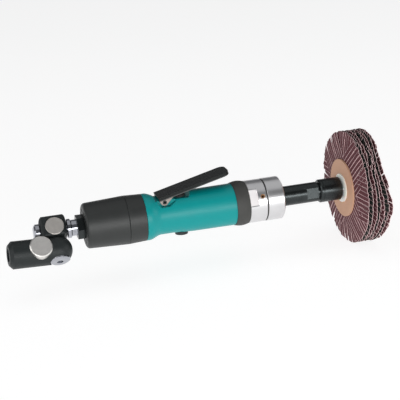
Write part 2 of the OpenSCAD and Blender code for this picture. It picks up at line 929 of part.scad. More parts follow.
module grip_ring() {
    crown = [for (i = [0:8]) [x_ring_r + ring_len * i / 8,
                              ring_edge_d / 2 + (ring_crown_d - ring_edge_d) / 2
                              * sin(180 * i / 8)]];
    color(black)
        turned(concat([[x_ring_r, neck_r + run_gap]], crown,
                      [[x_case_r, neck_r + run_gap]]));
}

// ---- Spindle, collet and mop ----

module output_spindle() color(gunmetal)
    difference() {
        union() {
            bar(x_bearing_f + spindle_back, x_neck, spindle_r);
            bar(x_neck - past, x_neck + neck_len + 0.1, nose_thread_r - nut_gap);
            bar(x_neck + neck_len, x_taper_f, nose_thread_r);
        }
        bar(x_bearing_f, x_bearing_f + pilot_len + pilot_gap, pilot_r + seat_gap);
        turned([[x_taper_f + 0.01, 0], [x_taper_f + 0.01, taper_big],
                [x_taper_f - taper_len, taper_small],
                [x_taper_f - taper_len - taper_centre, 0]]);
        for (side = [0, 180])
            rotate([side + flat_roll, 0, 0])
                translate([x_neck - spindle_flat_len, spindle_flat_w / 2, -far / 2])
                    cube([spindle_flat_len + 0.01, far, far]);
    }

module collet() color(steel)
    difference() {
        turned([[x_taper_f - taper_len + collet_back, 0],
                [x_taper_f - taper_len + collet_back, taper_small - seat_gap],
                [x_taper_f, taper_big - collet_gap],
                [x_taper_f + collet_land, taper_big - collet_gap],
                [x_taper_f + collet_front, taper_big - collet_bevel],
                [x_taper_f + collet_front, 0]]);
        bar(x_taper_f - taper_len - past, x_taper_f + collet_front + past,
            mop_shank_r + seat_gap);
        for (a = [0, 90])
            rotate([a, 0, 0])
                translate([x_taper_f - taper_len + collet_solid, -collet_slot / 2, -far / 2])
                    cube([taper_len, collet_slot, far]);
    }

module collet_nut() color(gunmetal)
    difference() {
        turned([[x_nut_r, 0], [x_nut_r, nut_r - nut_bevel], [x_nut_r + nut_bevel, nut_r],
                [x_nut_r + nut_groove[0], nut_r], [x_nut_r + nut_groove[1], nut_r - nut_groove_h],
                [x_nut_r + nut_groove[2], nut_r - nut_groove_h], [x_nut_r + nut_groove[3], nut_r],
                [x_nut_f - nut_front_bevel, nut_r], [x_nut_f, nut_r - nut_front_bevel],
                [x_nut_f, 0]]);
        bar(x_nut_r - past, x_taper_f + collet_land, nose_thread_r + seat_gap);
        turned([[x_taper_f + collet_land - 0.1, 0],
                [x_taper_f + collet_land - 0.1, nose_thread_r + seat_gap],
                [x_taper_f + nut_seat, taper_small + nut_bore],
                [x_nut_f + past, taper_small + nut_bore], [x_nut_f + past, 0]]);
    }

module mop_arbor() color(steel)
    difference() {
        union() {
            bar(x_taper_f - taper_len + arbor_back, x_collar + 0.1, mop_shank_r);
            bar(x_collar, x_bush, arbor_collar_r);
            bar(x_bush - 0.1, x_hub_end - arbor_short, arbor_r);
        }
        bar(x_hub_end - screw_hole, x_hub_end + past, screw_r + seat_gap);
    }

// A disc of the mop, bored for the arbor
module mop_disc(x0, t, d) {
    tube(x0, x0 + t, d / 2, arbor_r + seat_gap);
}

module hub_bushes() color(white) {
    mop_disc(x_bush, bush_t, bush_d);
    mop_disc(x_rear_bush, bush_t, bush_d);
}

module front_flange_disc() color(tan)
    mop_disc(x_disc, disc_t, disc_d);

module rear_flange_disc() color(tan)
    mop_disc(x_rear_disc, disc_t, disc_d);

module sanding_sheet(i) color(maroon)
    mop_disc(x_sheets + (i - 1) * sheet_pitch, sheet_t, mop_d);

module sheet_spacers() color(tan)
    for (i = [1:sheets - 1])
        mop_disc(x_sheets + (i - 1) * sheet_pitch + sheet_t, sheet_pitch - sheet_t,
                 disc_d - spacer_inset);

module arbor_screw() color(steel) {
    bar(x_hub_end, x_hub_end + screw_washer_t, screw_washer_r);
    slice(x_hub_end + screw_washer_t - 0.1, x_hub_end + screw_hex_end)
        circle(screw_hex_r, $fn = 6);
    bar(x_hub_end - screw_len, x_hub_end + 0.1, screw_r);
}

// ---- Throttle ----

// The lever's own frame: pivot at its origin, web along +X, outer face up
module in_lever() {
    translate([x_pivot, 0, pivot_z])
        rotate([0, -lever_rise, 0])
            children();
}

// The lever's plan, grown inwards by a wall and then open at the rear
module lever_plan(wall) {
    w = lever_w - 2 * wall;
    nose = lever_nose - wall;
    end = lever_len - lever_tail - wall;
    open = wall > 0 ? past : 0;
    translate([-lever_tail - open, -w / 2])
        square([end - nose + lever_tail + open, w]);
    translate([end - nose - 0.01, -w / 2 + nose])
        square([nose + 0.01, w - 2 * nose]);
    for (side = [-1, 1])
        translate([end - nose, side * (w / 2 - nose)])
            circle(nose);
}

// Side outline of an ear: a blunt foot round the pivot that slopes up to the flange
module ear() {
    circle(ear_r);
    polygon([[-lever_tail, web_rise], [-lever_tail, flange_low], [-ear_r, ear_foot / 2],
             [-ear_r / 2, ear_foot], [ear_r / 3, ear_foot], [ear_r * 2 / 3, ear_foot * 0.8],
             [ear_front, flange_low], [ear_front + past, web_rise]]);
}

module throttle_lever() color(black)
    in_lever()
        difference() {
            union() {
                difference() {
                    translate([0, 0, flange_low])
                        linear_extrude(flange_depth)
                            lever_plan(0);
                    translate([0, 0, flange_low - past])
                        linear_extrude(flange_depth - lever_t + past)
                            lever_plan(lever_t);
                }
                for (side = [-1, 1])
                    translate([0, side * (lever_w - lever_t) / 2, 0])
                        cross(lever_t)
                            ear();
            }
            rotate([90, 0, 0])
                cylinder(h = lever_w + 2, r = lever_pin_r + run_gap, center = true);
        }

module lever_pin() color(steel)
    translate([x_pivot, 0, pivot_z])
        rotate([90, 0, 0])
            difference() {
                cylinder(h = lever_w + 2 * pin_stand, r = lever_pin_r, center = true);
                cylinder(h = lever_w + 2, r = lever_pin_r - pin_wall, center = true);
            }

module valve_bushing() color(rubber)
    translate([x_valve, 0, 0])
        difference() {
            union() {
                translate([0, 0, bushing_foot_z])
                    cylinder(h = bushing_step_z - bushing_foot_z, r = valve_bore_r - seat_gap);
                translate([0, 0, bushing_step_z - 0.1])
                    cylinder(h = bushing_top_z - bushing_step_z + 0.1, r = bushing_neck_r);
            }
            cylinder(h = 2 * far, r = stem_r + run_gap, center = true);
        }

module valve_seat_ring() color(rubber)
    translate([x_valve, 0, seat_z + 0.01])
        difference() {
            cylinder(h = bushing_foot_z - seat_z - 0.02, r = valve_bore_r - seat_gap);
            cylinder(h = 2 * far, r = stem_r + seat_bore, center = true);
        }

module valve_stem() color(steel)
    translate([x_valve, 0, 0]) {
        translate([0, 0, seat_z - valve_gap - valve_head_t])
            cylinder(h = valve_head_t, r = valve_head_r);
        translate([0, 0, seat_z - valve_gap - 0.1])
            cylinder(h = stem_top_z - stem_tip - seat_z + valve_gap + 0.1, r = stem_r);
        translate([0, 0, stem_top_z - stem_tip])
            cylinder(h = stem_tip, r1 = stem_r, r2 = stem_tip_r);
    }

// A ring of points about one station of a coil, and the coil's skin
function coil_ring(a, z, r, wire, sides) =
    [for (k = [0:sides - 1])
        let (b = 360 * k / sides, q = r + wire * cos(b))
        [q * cos(a), q * sin(a), z + wire * sin(b)]];

module coil(r, wire, z0, z1, turns) {
    sides = 8;
    steps = 14 * turns;
    rise = z1 - z0 - 2 * wire;
    points = [for (i = [0:steps]) each
        coil_ring(360 * turns * i / steps, z0 + wire + rise * i / steps, r, wire, sides)];
    skin = [for (i = [0:steps - 1], k = [0:sides - 1])
        let (a = i * sides + k, b = i * sides + (k + 1) % sides)
        [a, b, b + sides, a + sides]];
    ends = [[for (k = [sides - 1:-1:0]) k], [for (k = [0:sides - 1]) steps * sides + k]];
    polyhedron(points, concat([for (f = skin) [f[0], f[3], f[2], f[1]]],
                              [for (e = ends) [for (k = [sides - 1:-1:0]) e[k]]]));
}

module valve_spring() color(steel)
    translate([x_valve, 0, 0])
        coil(spring_r, spring_wire_r, chamber_z + spring_gap,
             seat_z - valve_gap - valve_head_t - spring_gap, spring_turns);

module speed_regulator() color(gunmetal)
    translate([x_valve, 0, 0])
        difference() {
            union() {
                translate([0, 0, regulator_head_z - 0.1])
                    cylinder(h = regulator_top_z - regulator_head_z + 0.1, r = regulator_r);
                translate([0, 0, regulator_foot_z])
                    cylinder(h = regulator_head_z - regulator_foot_z - 0.1,
                             r = regulator_head_r);
            }
            translate([0, 0, regulator_hole_z])
                bar(-regulator_d, regulator_d, regulator_hole_r - regulator_port_gap);
            translate([0, 0, regulator_hole_z])
                cylinder(h = regulator_d, r = regulator_hole_r - regulator_port_gap);
            translate([-regulator_d, -driver_slot / 2, regulator_foot_z - past])
                cube([2 * regulator_d, driver_slot, 2 * past]);
            translate([0, 0, clip_z - clip_t / 2 - run_gap])
                difference() {
                    cylinder(h = clip_t + 2 * run_gap, r = regulator_r + past);
                    cylinder(h = 4 * clip_t, r = regulator_r - clip_groove, center = true);
                }
        }

module regulator_clip() color(steel)
    translate([x_valve, 0, clip_z - clip_t / 2])
        difference() {
            cylinder(h = clip_t, r = regulator_r + clip_lip);
            cylinder(h = 4 * clip_t, r = regulator_r - clip_depth, center = true);
            translate([0, -clip_split / 2, -clip_t])
                cube([regulator_d, clip_split, 4 * clip_t]);
        }

// ---- Air swivel ----

// The swivel's frame: elbow axis down -Z through the origin, plugs facing -Y
module in_swivel() {
    translate([x_elbow, 0, 0])
        rotate([-swivel_roll, 0, 0])
            children();
}

module in_tail() {
    in_swivel()
        rotate([0, 0, tail_yaw])
            children();
}

module swivel_stem() color(silver)
    difference() {
        union() {
            bar(x_cap_f - pass_gap, x_flange_r + 0.1, swivel_journal_r);
            turned([[x_flange_r, 0], [x_flange_r, swivel_flange_r - flange_bevel[0]],
                    [x_flange_r + flange_bevel[0], swivel_flange_r],
                    [x_flange_f - flange_bevel[1], swivel_flange_r],
                    [x_flange_f, swivel_flange_r - flange_bevel[1]], [x_flange_f, 0]]);
            bar(x_flange_f - 0.1, x_sleeve_r - 2 * stem_stop, swivel_stem_r);
            bar(x_cap_f - stem_end, x_cap_f, stem_end_r);
        }
        bar(x_elbow, x_sleeve_r, stem_air_r);
        translate([x_elbow, 0, 0])
            rotate([90, 0, 0])
                cylinder(h = 2 * swivel_stem_r, r = stem_port_r, center = true);
        for (side = [-1, 1])
            translate([x_elbow + side * stem_seal_x, 0, 0])
                tube(-seal_groove, seal_groove, swivel_journal_r + past,
                     swivel_journal_r - 2 * seal_cord_r);
    }

module stem_o_rings() color(rubber)
    for (side = [-1, 1])
        o_ring(x_elbow + side * stem_seal_x, swivel_journal_r - seal_depth, seal_cord_r);

module stem_cap() color(silver)
    difference() {
        turned([[x_cap_f - pass_gap, 0], [x_cap_f - pass_gap, stem_cap_r],
                [x_cap_f - stem_cap_steps[0], stem_cap_r],
                [x_cap_f - stem_cap_steps[1], stem_cap_r - stem_cap_rounds[0]],
                [x_cap_f - stem_cap_steps[2], stem_cap_r - stem_cap_rounds[1]],
                [x_cap_f - stem_cap_steps[2], 0]]);
        bar(x_cap_f - stem_end - 0.1, x_elbow, stem_end_r + seat_gap);
        bar(x_cap_f - pass_gap - 0.01, x_elbow, swivel_journal_r);
    }

// A block with its edges rounded along all three directions
module soft_block() {
    h = block_h + block_foot;
    translate([-block_shift, 0, (block_h - block_foot) / 2])
        intersection() {
            rotate([90, 0, 0])
                linear_extrude(far, center = true)
                    rounded(block_len, h, block_round - 1);
            linear_extrude(far, center = true)
                rounded(block_len, block_side, block_round);
            rotate([90, 0, 90])
                linear_extrude(far, center = true)
                    rounded(block_side, h, block_belly_round);
        }
}

module swivel_block() color(black)
    in_swivel()
        difference() {
            soft_block();
            bar(-far, far, swivel_journal_r + run_gap);
            bar(-block_void, block_void, swivel_journal_r + past);
            translate([0, 0, -block_foot - past])
                cylinder(h = past + bolt_thread_len - 0.1 + seat_gap,
                         r = bolt_thread_r + seat_gap);
            translate([0, 0, -block_foot])
                cylinder(h = block_foot, r = bolt_air_r);
            translate([0, plug_seat - block_h, 0])
                rotate([90, 0, 0])
                    cylinder(h = block_h, r = block_plug_d / 2 + seat_gap);
        }

module block_plug() color(silver)
    in_swivel()
        translate([0, plug_seat - plug_gap - block_h, 0])
            rotate([90, 0, 0]) {
                cylinder(h = plug_t, r = block_plug_d / 2);
                translate([0, 0, plug_t])
                    cylinder(h = plug_edge, r1 = block_plug_d / 2,
                             r2 = block_plug_d / 2 - plug_edge);
            }

// Stations of the elbow bolt's two seals along its axis
bolt_seals = [-elbow_top - bolt_seal, -elbow_foot + bolt_seal];

module elbow_bolt() color(silver)
    in_swivel()
        translate([0, 0, -elbow_foot - pass_gap])
            difference() {
                union() {
                    cylinder(h = elbow_foot + pass_gap - block_foot + bolt_thread_len - 0.1,
                             r = bolt_thread_r);
                    translate([0, 0, -0.1])
                        cylinder(h = elbow_foot + pass_gap + 0.1 - block_foot,
                                 r = bolt_journal_r);
                    translate([0, 0, -bolt_head_t / 2])
                        cylinder(h = bolt_head_t / 2, r = bolt_head_d / 2);
                    translate([0, 0, -bolt_head_t])
                        cylinder(h = bolt_head_t / 2, r1 = bolt_head_d / 2 - bolt_head_bevel,
                                 r2 = bolt_head_d / 2);
                }
                translate([0, 0, bolt_seal + past])
                    cylinder(h = elbow_foot, r = bolt_air_r);
                translate([0, 0, elbow_foot + pass_gap - tail_drop])
                    rotate([0, 90, 0])
                        cylinder(h = far, r = bolt_port_r, center = true);
                for (z = bolt_seals)
                    translate([0, 0, elbow_foot + pass_gap + z])
                        difference() {
                            cylinder(h = 2 * seal_groove, r = bolt_journal_r + past,
                                     center = true);
                            cylinder(h = far, r = bolt_journal_r - 2 * seal_cord_r,
                                     center = true);
                        }
                translate([0, 0, -bolt_head_t - past])
                    cylinder(h = bolt_socket + past, r = bolt_socket_r, $fn = 6);
            }

module elbow_o_rings() color(rubber)
    in_swivel()
        for (z = bolt_seals)
            translate([0, 0, z])
                rotate_extrude()
                    translate([bolt_journal_r - seal_depth, 0])
                        circle(seal_cord_r, $fn = 24);

// The tail's outside: tube, round lobe, chamfered mouth
module tail_body() {
    translate([0, 0, -tail_drop]) {
        turned([[-tail_len, 0], [-tail_len, tail_r - mouth_chamfer],
                [-tail_len + mouth_chamfer, tail_r], [0, tail_r], [0, 0]]);
        sphere(lobe_r);
    }
}

// The tail plug's own frame: its seat at the origin, its face along +Z
module at_tail_plug(seat) {
    translate([-tail_plug_x, -seat, -tail_drop])
        rotate([90, 0, 0])
            children();
}

module swivel_tail() color(black)
    in_tail()
        difference() {
            tail_body();
            translate([0, 0, -elbow_top])
                cylinder(h = far, r = relief_r);
            translate([0, 0, -elbow_foot - far])
                cylinder(h = far, r = bolt_head_d / 2 + pass_gap);
            translate([0, 0, -elbow_foot - far / 2])
                cylinder(h = elbow_foot + far / 2, r = bolt_journal_r + run_gap);
            translate([0, 0, -tail_drop]) {
                bar(-tail_len - past, -tail_len + port_depth, port_d / 2);
                bar(-tail_len, 0, air_r);
            }
            at_tail_plug(tail_plug_seat)
                cylinder(h = far, r = tail_plug_d / 2 + seat_gap);
        }

module tail_plug() color(silver)
    in_tail()
        at_tail_plug(tail_plug_seat + plug_gap) {
            cylinder(h = tail_r + tail_plug_stand - tail_plug_seat, r = tail_plug_d / 2);
            translate([0, 0, tail_r + tail_plug_stand - tail_plug_seat])
                cylinder(h = tail_plug_edge, r1 = tail_plug_d / 2,
                         r2 = tail_plug_d / 2 - tail_plug_edge);
        }

// ---- The assembly ----

handle_housing();
rear_sleeve();
sleeve_band();
muffler_felt();
inlet_bushing();
motor_cylinder();
rear_end_plate();
front_end_plate();
bearing_outer_rings();
grip_ring();
gear_case();
case_set_screw();
case_o_ring();
nose_cap();
lever_pin();
valve_bushing();
valve_seat_ring();
regulator_clip();
swivel_stem();
stem_cap();
stem_o_rings();
throttle_lever();
valve_stem();
valve_spring();
speed_regulator();
rotor();
rotor_vanes();
sun_gear();
rotor_bearing_inners();
planet_carrier();
planet_pins();
output_spindle();
spindle_bearing_inners();
collet();
collet_nut();
mop_arbor();
hub_bushes();
front_flange_disc();
for (i = [1:sheets])
    sanding_sheet(i);
sheet_spacers();
rear_flange_disc();
arbor_screw();
for (i = [1:planets])
    planet_gear(i - 1);
swivel_block();
block_plug();
elbow_bolt();
elbow_o_rings();
swivel_tail();
tail_plug();
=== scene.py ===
"""Looks of a straight air grinder with a sanding mop: finishes for most pieces, slit
abrasive sheets, broken edges and a small studio. Lengths are in metres and the frame is
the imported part's: +X along the spindle towards the mop, +Z towards the lever."""

import json
import math

import bmesh
import bpy
import numpy as np
from mathutils import Matrix, Vector

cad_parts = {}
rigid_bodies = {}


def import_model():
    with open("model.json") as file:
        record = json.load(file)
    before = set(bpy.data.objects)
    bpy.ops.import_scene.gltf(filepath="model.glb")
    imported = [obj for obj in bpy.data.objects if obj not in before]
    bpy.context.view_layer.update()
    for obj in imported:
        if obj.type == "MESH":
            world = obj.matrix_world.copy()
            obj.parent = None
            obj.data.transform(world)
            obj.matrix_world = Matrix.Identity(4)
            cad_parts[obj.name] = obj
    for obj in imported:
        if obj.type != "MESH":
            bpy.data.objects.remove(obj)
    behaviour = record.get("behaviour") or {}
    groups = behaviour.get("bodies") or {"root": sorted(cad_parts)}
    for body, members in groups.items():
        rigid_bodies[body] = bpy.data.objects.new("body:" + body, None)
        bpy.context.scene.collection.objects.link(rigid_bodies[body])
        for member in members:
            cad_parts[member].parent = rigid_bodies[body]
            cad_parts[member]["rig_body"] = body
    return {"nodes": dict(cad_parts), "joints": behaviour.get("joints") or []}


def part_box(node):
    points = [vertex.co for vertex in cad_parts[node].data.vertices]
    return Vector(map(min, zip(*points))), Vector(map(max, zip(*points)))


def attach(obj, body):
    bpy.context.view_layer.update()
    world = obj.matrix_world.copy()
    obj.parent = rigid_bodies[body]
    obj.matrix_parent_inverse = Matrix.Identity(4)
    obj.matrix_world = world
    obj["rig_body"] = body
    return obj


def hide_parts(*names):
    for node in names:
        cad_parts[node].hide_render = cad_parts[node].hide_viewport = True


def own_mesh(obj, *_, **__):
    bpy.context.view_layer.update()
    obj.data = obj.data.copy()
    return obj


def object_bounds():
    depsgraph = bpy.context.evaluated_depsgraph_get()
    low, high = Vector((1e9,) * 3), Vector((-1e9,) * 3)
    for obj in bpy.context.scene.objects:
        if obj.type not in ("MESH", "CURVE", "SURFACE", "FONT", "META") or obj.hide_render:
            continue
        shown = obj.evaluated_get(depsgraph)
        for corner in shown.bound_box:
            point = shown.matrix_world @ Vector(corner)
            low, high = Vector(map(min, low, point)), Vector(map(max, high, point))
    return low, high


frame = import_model()
CAD_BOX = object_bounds()

bl_info = {
    "name": "Air Grinder Finish",
    "version": (1, 0, 0),
    "blender": (4, 5, 0),
    "location": "View3D > Sidebar > Grinder",
    "description": "Finishes an air grinder: coatings, turned metals, mop sheets and a studio",
    "category": "Object",
}

MM = 0.001
LINE_AXIS = (1.0, 0.0, 0.0)
ORIGIN = (0.0, 0.0, 0.0)

SHARP_ANGLE = math.radians(28)  # edges that bend more than this stay sharp
WELD_GAP = 0.002 * MM
FLAT_ANGLE = math.radians(0.4)
BEVEL_SEGMENTS = 3

COVERED_LEN = 38 * MM  # the shell's rear end, under the sleeve and its band
LEVER_RISE = math.radians(13.6)
FLANGE_FOOT = 2.0 * MM  # height of the lever's flange over its pivot
EAR_REACH = 9.0 * MM  # how far ahead of the pivot the lever's bare ears go

# Places across a finger of cloth, in millimetres of its own map
FRONT, CUT, BACK = 0.0, 50.0, 100.0
WEAVE_PITCH = 0.45
PETALS = 8
HUB_TURNS = 72
HUB_BORE_R = 5.2 * MM
PRESSED_AT = math.radians(146)  # both angles are round the spindle
GAPING_AT = math.radians(192)

FLOOR_REACH = 6.0
LAMP_AIM = (-0.06, 0.0, 0.0)
SENSOR_WIDTH = 36.0
CLIP_RANGE = (0.01, 50.0)


# ---- Sizes and colours that a user may change ----

def colour_property(name, description, default):
    """A colour in linear light."""
    return bpy.props.FloatVectorProperty(
        name=name, description=description, default=default,
        subtype="COLOR", size=3, min=0.0, max=1.0)


def length_property(name, description, default):
    """A length in metres."""
    return bpy.props.FloatProperty(
        name=name, description=description, default=default, min=0.0,
        subtype="DISTANCE", unit="LENGTH", precision=5)


class GrinderColours(bpy.types.PropertyGroup):
    """Colours of the tool's finishes"""

    shell: colour_property("Shell", "Coating of the handle", (0.0, 0.262, 0.263))
    sleeve: colour_property("Sleeve", "Moulded rear sleeve", (0.018, 0.020, 0.0195))
    grip: colour_property("Grip ring", "Rubber of the grip ring", (0.040, 0.040, 0.037))
    blackened: colour_property("Blackened steel", "Spindle and nut", (0.050, 0.056, 0.057))
    bright: colour_property("Bright steel", "Turned nose and gear case", (0.74, 0.735, 0.745))
    lever: colour_property("Lever", "Paint of the lever", (0.009, 0.011, 0.0105))
    swivel: colour_property("Swivel", "Anodised swivel bodies", (0.016, 0.0195, 0.020))
    grit: colour_property("Grit", "Face of the abrasive sheets", (0.100, 0.024, 0.031))
    thread: colour_property("Thread", "Cut edges of the sheets", (0.82, 0.58, 0.58))
    # Near-black cloth back, dark enough to stand for painted shade between the mop's layers
    backing: colour_property("Backing", "Back of the abrasive sheets", (0.012, 0.018, 0.015))
    fibre: colour_property("Fibre", "Flange discs of the mop", (0.60, 0.345, 0.225))
    nylon: colour_property("Nylon", "Hub bushes of the mop", (0.86, 0.85, 0.79))


class MopSizes(bpy.types.PropertyGroup):
    """Sizes of the slit abrasive sheets"""

    finger_w: length_property("Finger width", "Distance from slit to slit", 4.0 * MM)
    slit_w: length_property("Slit width", "Gap between two fingers", 0.12 * MM)
    cloth_t: length_property("Cloth thickness", "Thickness of one cross", 0.32 * MM)
    root_r: length_property("Root radius", "Where the slits begin", 23.0 * MM)
    edge_w: length_property("Edge width", "Pale border along a slit", 0.22 * MM)
    fingers: bpy.props.IntProperty(
        name="Fingers", description="Fingers in each petal", default=10, min=4, max=16)
    stations: bpy.props.IntProperty(
        name="Stations", description="Points along a finger", default=9, min=4, max=16)
    seed: bpy.props.IntProperty(
        name="Seed", description="Start of the random bends", default=11, min=0)


class StudioSizes(bpy.types.PropertyGroup):
    """Camera and lamps"""

    aim: bpy.props.FloatVectorProperty(
        name="Aim", description="Point that the camera looks at", size=3,
        subtype="TRANSLATION", unit="LENGTH", default=(-0.0649, 0.0254, -0.0005))
    distance: length_property("Distance", "From the camera to that point", 1.0)
    azimuth: bpy.props.FloatProperty(
        name="Azimuth", description="Turn of the view from +Y towards +X",
        subtype="ANGLE", unit="ROTATION", default=math.radians(14.27))
    elevation: bpy.props.FloatProperty(
        name="Elevation", description="Height of the camera above the horizon",
        subtype="ANGLE", unit="ROTATION", default=math.radians(17.99))
    roll: bpy.props.FloatProperty(
        name="Roll", description="Turn of the camera about its own axis",
        subtype="ANGLE", unit="ROTATION", default=math.radians(-3.91))
    lens: bpy.props.FloatProperty(
        name="Lens", description="Focal length in millimetres", default=100.35, min=10.0)
    horizon: colour_property("Horizon", "Light of the room at eye level", (1.0, 1.0, 1.0))
    zenith: colour_property("Zenith", "Light of the room overhead", (0.14, 0.143, 0.147))


# ---- Shader graphs ----

class Wire:
    """One output of a shader graph. Arithmetic on it adds Math nodes."""

    def __init__(self, graph, socket):
        self.graph = graph
        self.socket = socket

    def __add__(self, other):
        return self.graph.math("ADD", self, other)

    def __radd__(self, other):
        return self.graph.math("ADD", other, self)

    def __sub__(self, other):
        return self.graph.math("SUBTRACT", self, other)

    def __rsub__(self, other):
        return self.graph.math("SUBTRACT", other, self)

    def __mul__(self, other):
        return self.graph.math("MULTIPLY", self, other)

    def __rmul__(self, other):
        return self.graph.math("MULTIPLY", other, self)

    def __truediv__(self, other):
        return self.graph.math("DIVIDE", self, other)

    def __rtruediv__(self, other):
        return self.graph.math("DIVIDE", other, self)

    def __abs__(self):
        return self.graph.math("ABSOLUTE", self)


class Graph:
    """A tree of shader nodes that starts empty."""

    def __init__(self, owner):
        owner.use_nodes = True
        self.tree = owner.node_tree
        self.tree.nodes.clear()

    def node(self, kind, settings=(), inputs=(), out=0):
        """Adds a node: its settings first, then its sockets' values or links."""
        made = self.tree.nodes.new(kind)
        for name, value in dict(settings).items():
            setattr(made, name, value)
        for name, value in dict(inputs).items():
            if isinstance(value, Wire):
                self.tree.links.new(value.socket, made.inputs[name])
            else:
                made.inputs[name].default_value = value
        return Wire(self, made.outputs[out] if made.outputs else None)

    def math(self, operation, *values):
        """A Math node on numbers or wires."""
        return self.node("ShaderNodeMath", {"operation": operation},
                         dict(enumerate(values)))

    def vector(self, operation, a, b, out=0):
        """A Vector Math node on two vectors."""
        return self.node("ShaderNodeVectorMath", {"operation": operation},
                         {0: a, 1: b}, out)

    def smooth(self, value, low, high):
        """0 below low, 1 above high, eased in between."""
        return self.node(
            "ShaderNodeMapRange", {"interpolation_type": "SMOOTHSTEP"},
            {"Value": value, "From Min": low, "From Max": high})

    def mix(self, a, b, factor):
        """Colour a where factor is 0 and colour b where it is 1."""
        ends = [v if isinstance(v, Wire) else (*v, 1.0) for v in (a, b)]
        return self.node("ShaderNodeMix", {"data_type": "RGBA"},
                         {0: factor, 6: ends[0], 7: ends[1]}, out=2)

    def split(self, vector):
        """The three parts of a vector."""
        parts = self.node("ShaderNodeSeparateXYZ", (), {0: vector})
        outputs = parts.socket.node.outputs
        return [Wire(self, outputs[i]) for i in range(3)]

    def join(self, x, y, z):
        """A vector of three numbers or wires."""
        return self.node("ShaderNodeCombineXYZ", (), {0: x, 1: y, 2: z})


class Finish(Graph):
    """The material of one finish, as a graph that ends in one Principled shader."""

    def __init__(self, name):
        self.material = bpy.data.materials.new(name)
        super().__init__(self.material)
        self.place = self.node("ShaderNodeTexCoord", out="Object")

    def noise(self, size, detail=2.0, stretch=(1.0, 1.0, 1.0), place=None):
        """Clouds of about that size in metres, longer along an axis with a stretch over 1."""
        at = self.node("ShaderNodeMapping", (), {
            "Vector": place or self.place,
            "Scale": tuple(1.0 / (size * s) for s in stretch)})
        return self.node("ShaderNodeTexNoise", (),
                         {"Vector": at, "Scale": 1.0, "Detail": detail})

    def cells(self, size):
        """Distance to the nearest of random points about that size apart, in sizes."""
        return self.node("ShaderNodeTexVoronoi", (),
                         {"Vector": self.place, "Scale": 1.0 / size}, "Distance")

    def about(self, centre, axis):
        """Distance along an axis through centre, and distance out from it."""
        arm = self.vector("SUBTRACT", self.place, centre)
        along = self.vector("DOT_PRODUCT", arm, axis, "Value")
        foot = self.node("ShaderNodeVectorMath", {"operation": "SCALE"},
                         {0: axis, "Scale": along})
        out = self.vector("DISTANCE", arm, foot, "Value")
        return along, out

    def tool_marks(self, pitch):
        """Rings left by a cutting tool, finer than pitch, round the spindle's axis."""
        along, out = self.about(ORIGIN, LINE_AXIS)
        return self.noise(pitch, 3.0, place=self.join(along, out, 0.0))

    def bump(self, height, depth):
        """A normal from a height of 0 to 1 that is depth metres deep."""
        return self.node("ShaderNodeBump", (),
                         {"Height": height, "Distance": depth, "Strength": 1.0})

    def surface(self, **sockets):
        """Ends the graph: sockets are the shader's inputs, with _ for a space."""
        inputs = {name.replace("_", " "): value for name, value in sockets.items()}
        for name, value in inputs.items():
            if isinstance(value, (tuple, list)) and len(value) == 3:
                inputs[name] = (*value, 1.0)
        shader = self.node("ShaderNodeBsdfPrincipled", (), inputs)
        self.node("ShaderNodeOutputMaterial", (), {"Surface": shader})
        return self.material


def shade(colour, factor):
    """A colour made lighter or darker by a factor."""
    return tuple(min(1.0, c * factor) for c in colour)


# ---- Finishes ----

SHARED = {}


def shared(make, *values):
    """The material that a function makes, made the first time it is asked for. It isn't
    looked up by name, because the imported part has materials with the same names."""
    if make not in SHARED:
        SHARED[make] = make(*values)
    return SHARED[make]


def shell_coating(colours, rear_x):
    """Semi-gloss coating with a faint orange peel and rubbed patches, darker over the
    rear end that the sleeve and its band cover."""
    f = Finish("shell_coating")
    cloud = f.noise(16 * MM, 3.0)
    rub = f.smooth(f.noise(5 * MM, 4.0, (4.0, 1.0, 1.0)), 0.56, 0.72)
    x = f.split(f.place)[0]
    covered_x = rear_x + COVERED_LEN
    rear = 1.0 - f.smooth(x, covered_x - 1.5 * MM, covered_x + 1.5 * MM)
    colour = f.mix(shade(colours.shell, 0.95), shade(colours.shell, 1.05), cloud)
    colour = f.mix(colour, shade(colours.shell, 0.55), rear * 0.5)
    peel = f.noise(1.3 * MM, 2.0)
    return f.surface(
        Base_Color=colour, Roughness=0.35 + 0.06 * cloud + 0.08 * rub,
        Specular_IOR_Level=0.3, Normal=f.bump(peel, 0.012 * MM))


def moulded_black(colours):
    """Satin moulding with a fine spark-eroded grain and handling marks."""
    f = Finish("moulded_black")
    cloud = f.noise(12 * MM, 3.0)
    grain = f.noise(0.45 * MM, 2.0)
    scratch = f.smooth(f.noise(0.8 * MM, 3.0, (22.0, 1.0, 1.0)), 0.66, 0.74)
    colour = f.mix(shade(colours.sleeve, 0.85), shade(colours.sleeve, 1.2), cloud)
    colour = f.mix(colour, shade(colours.sleeve, 2.0), scratch * 0.35)
    return f.surface(
        Base_Color=colour, Roughness=0.44 + 0.08 * cloud - 0.08 * scratch,
        Normal=f.bump(grain, 0.018 * MM))


def grip_rubber(colours):
    """Matt rubber with fine pores, greyed where hands rub it."""
    f = Finish("grip_rubber")
    cloud = f.noise(7 * MM, 4.0)
    pores = f.smooth(f.cells(0.7 * MM), 0.05, 0.35)
    colour = f.mix(shade(colours.grip, 0.8), shade(colours.grip, 1.35), cloud)
    return f.surface(
        Base_Color=colour, Roughness=0.60 + 0.12 * cloud,
        Normal=f.bump(pores * 0.6 + f.noise(0.3 * MM) * 0.4, 0.03 * MM))


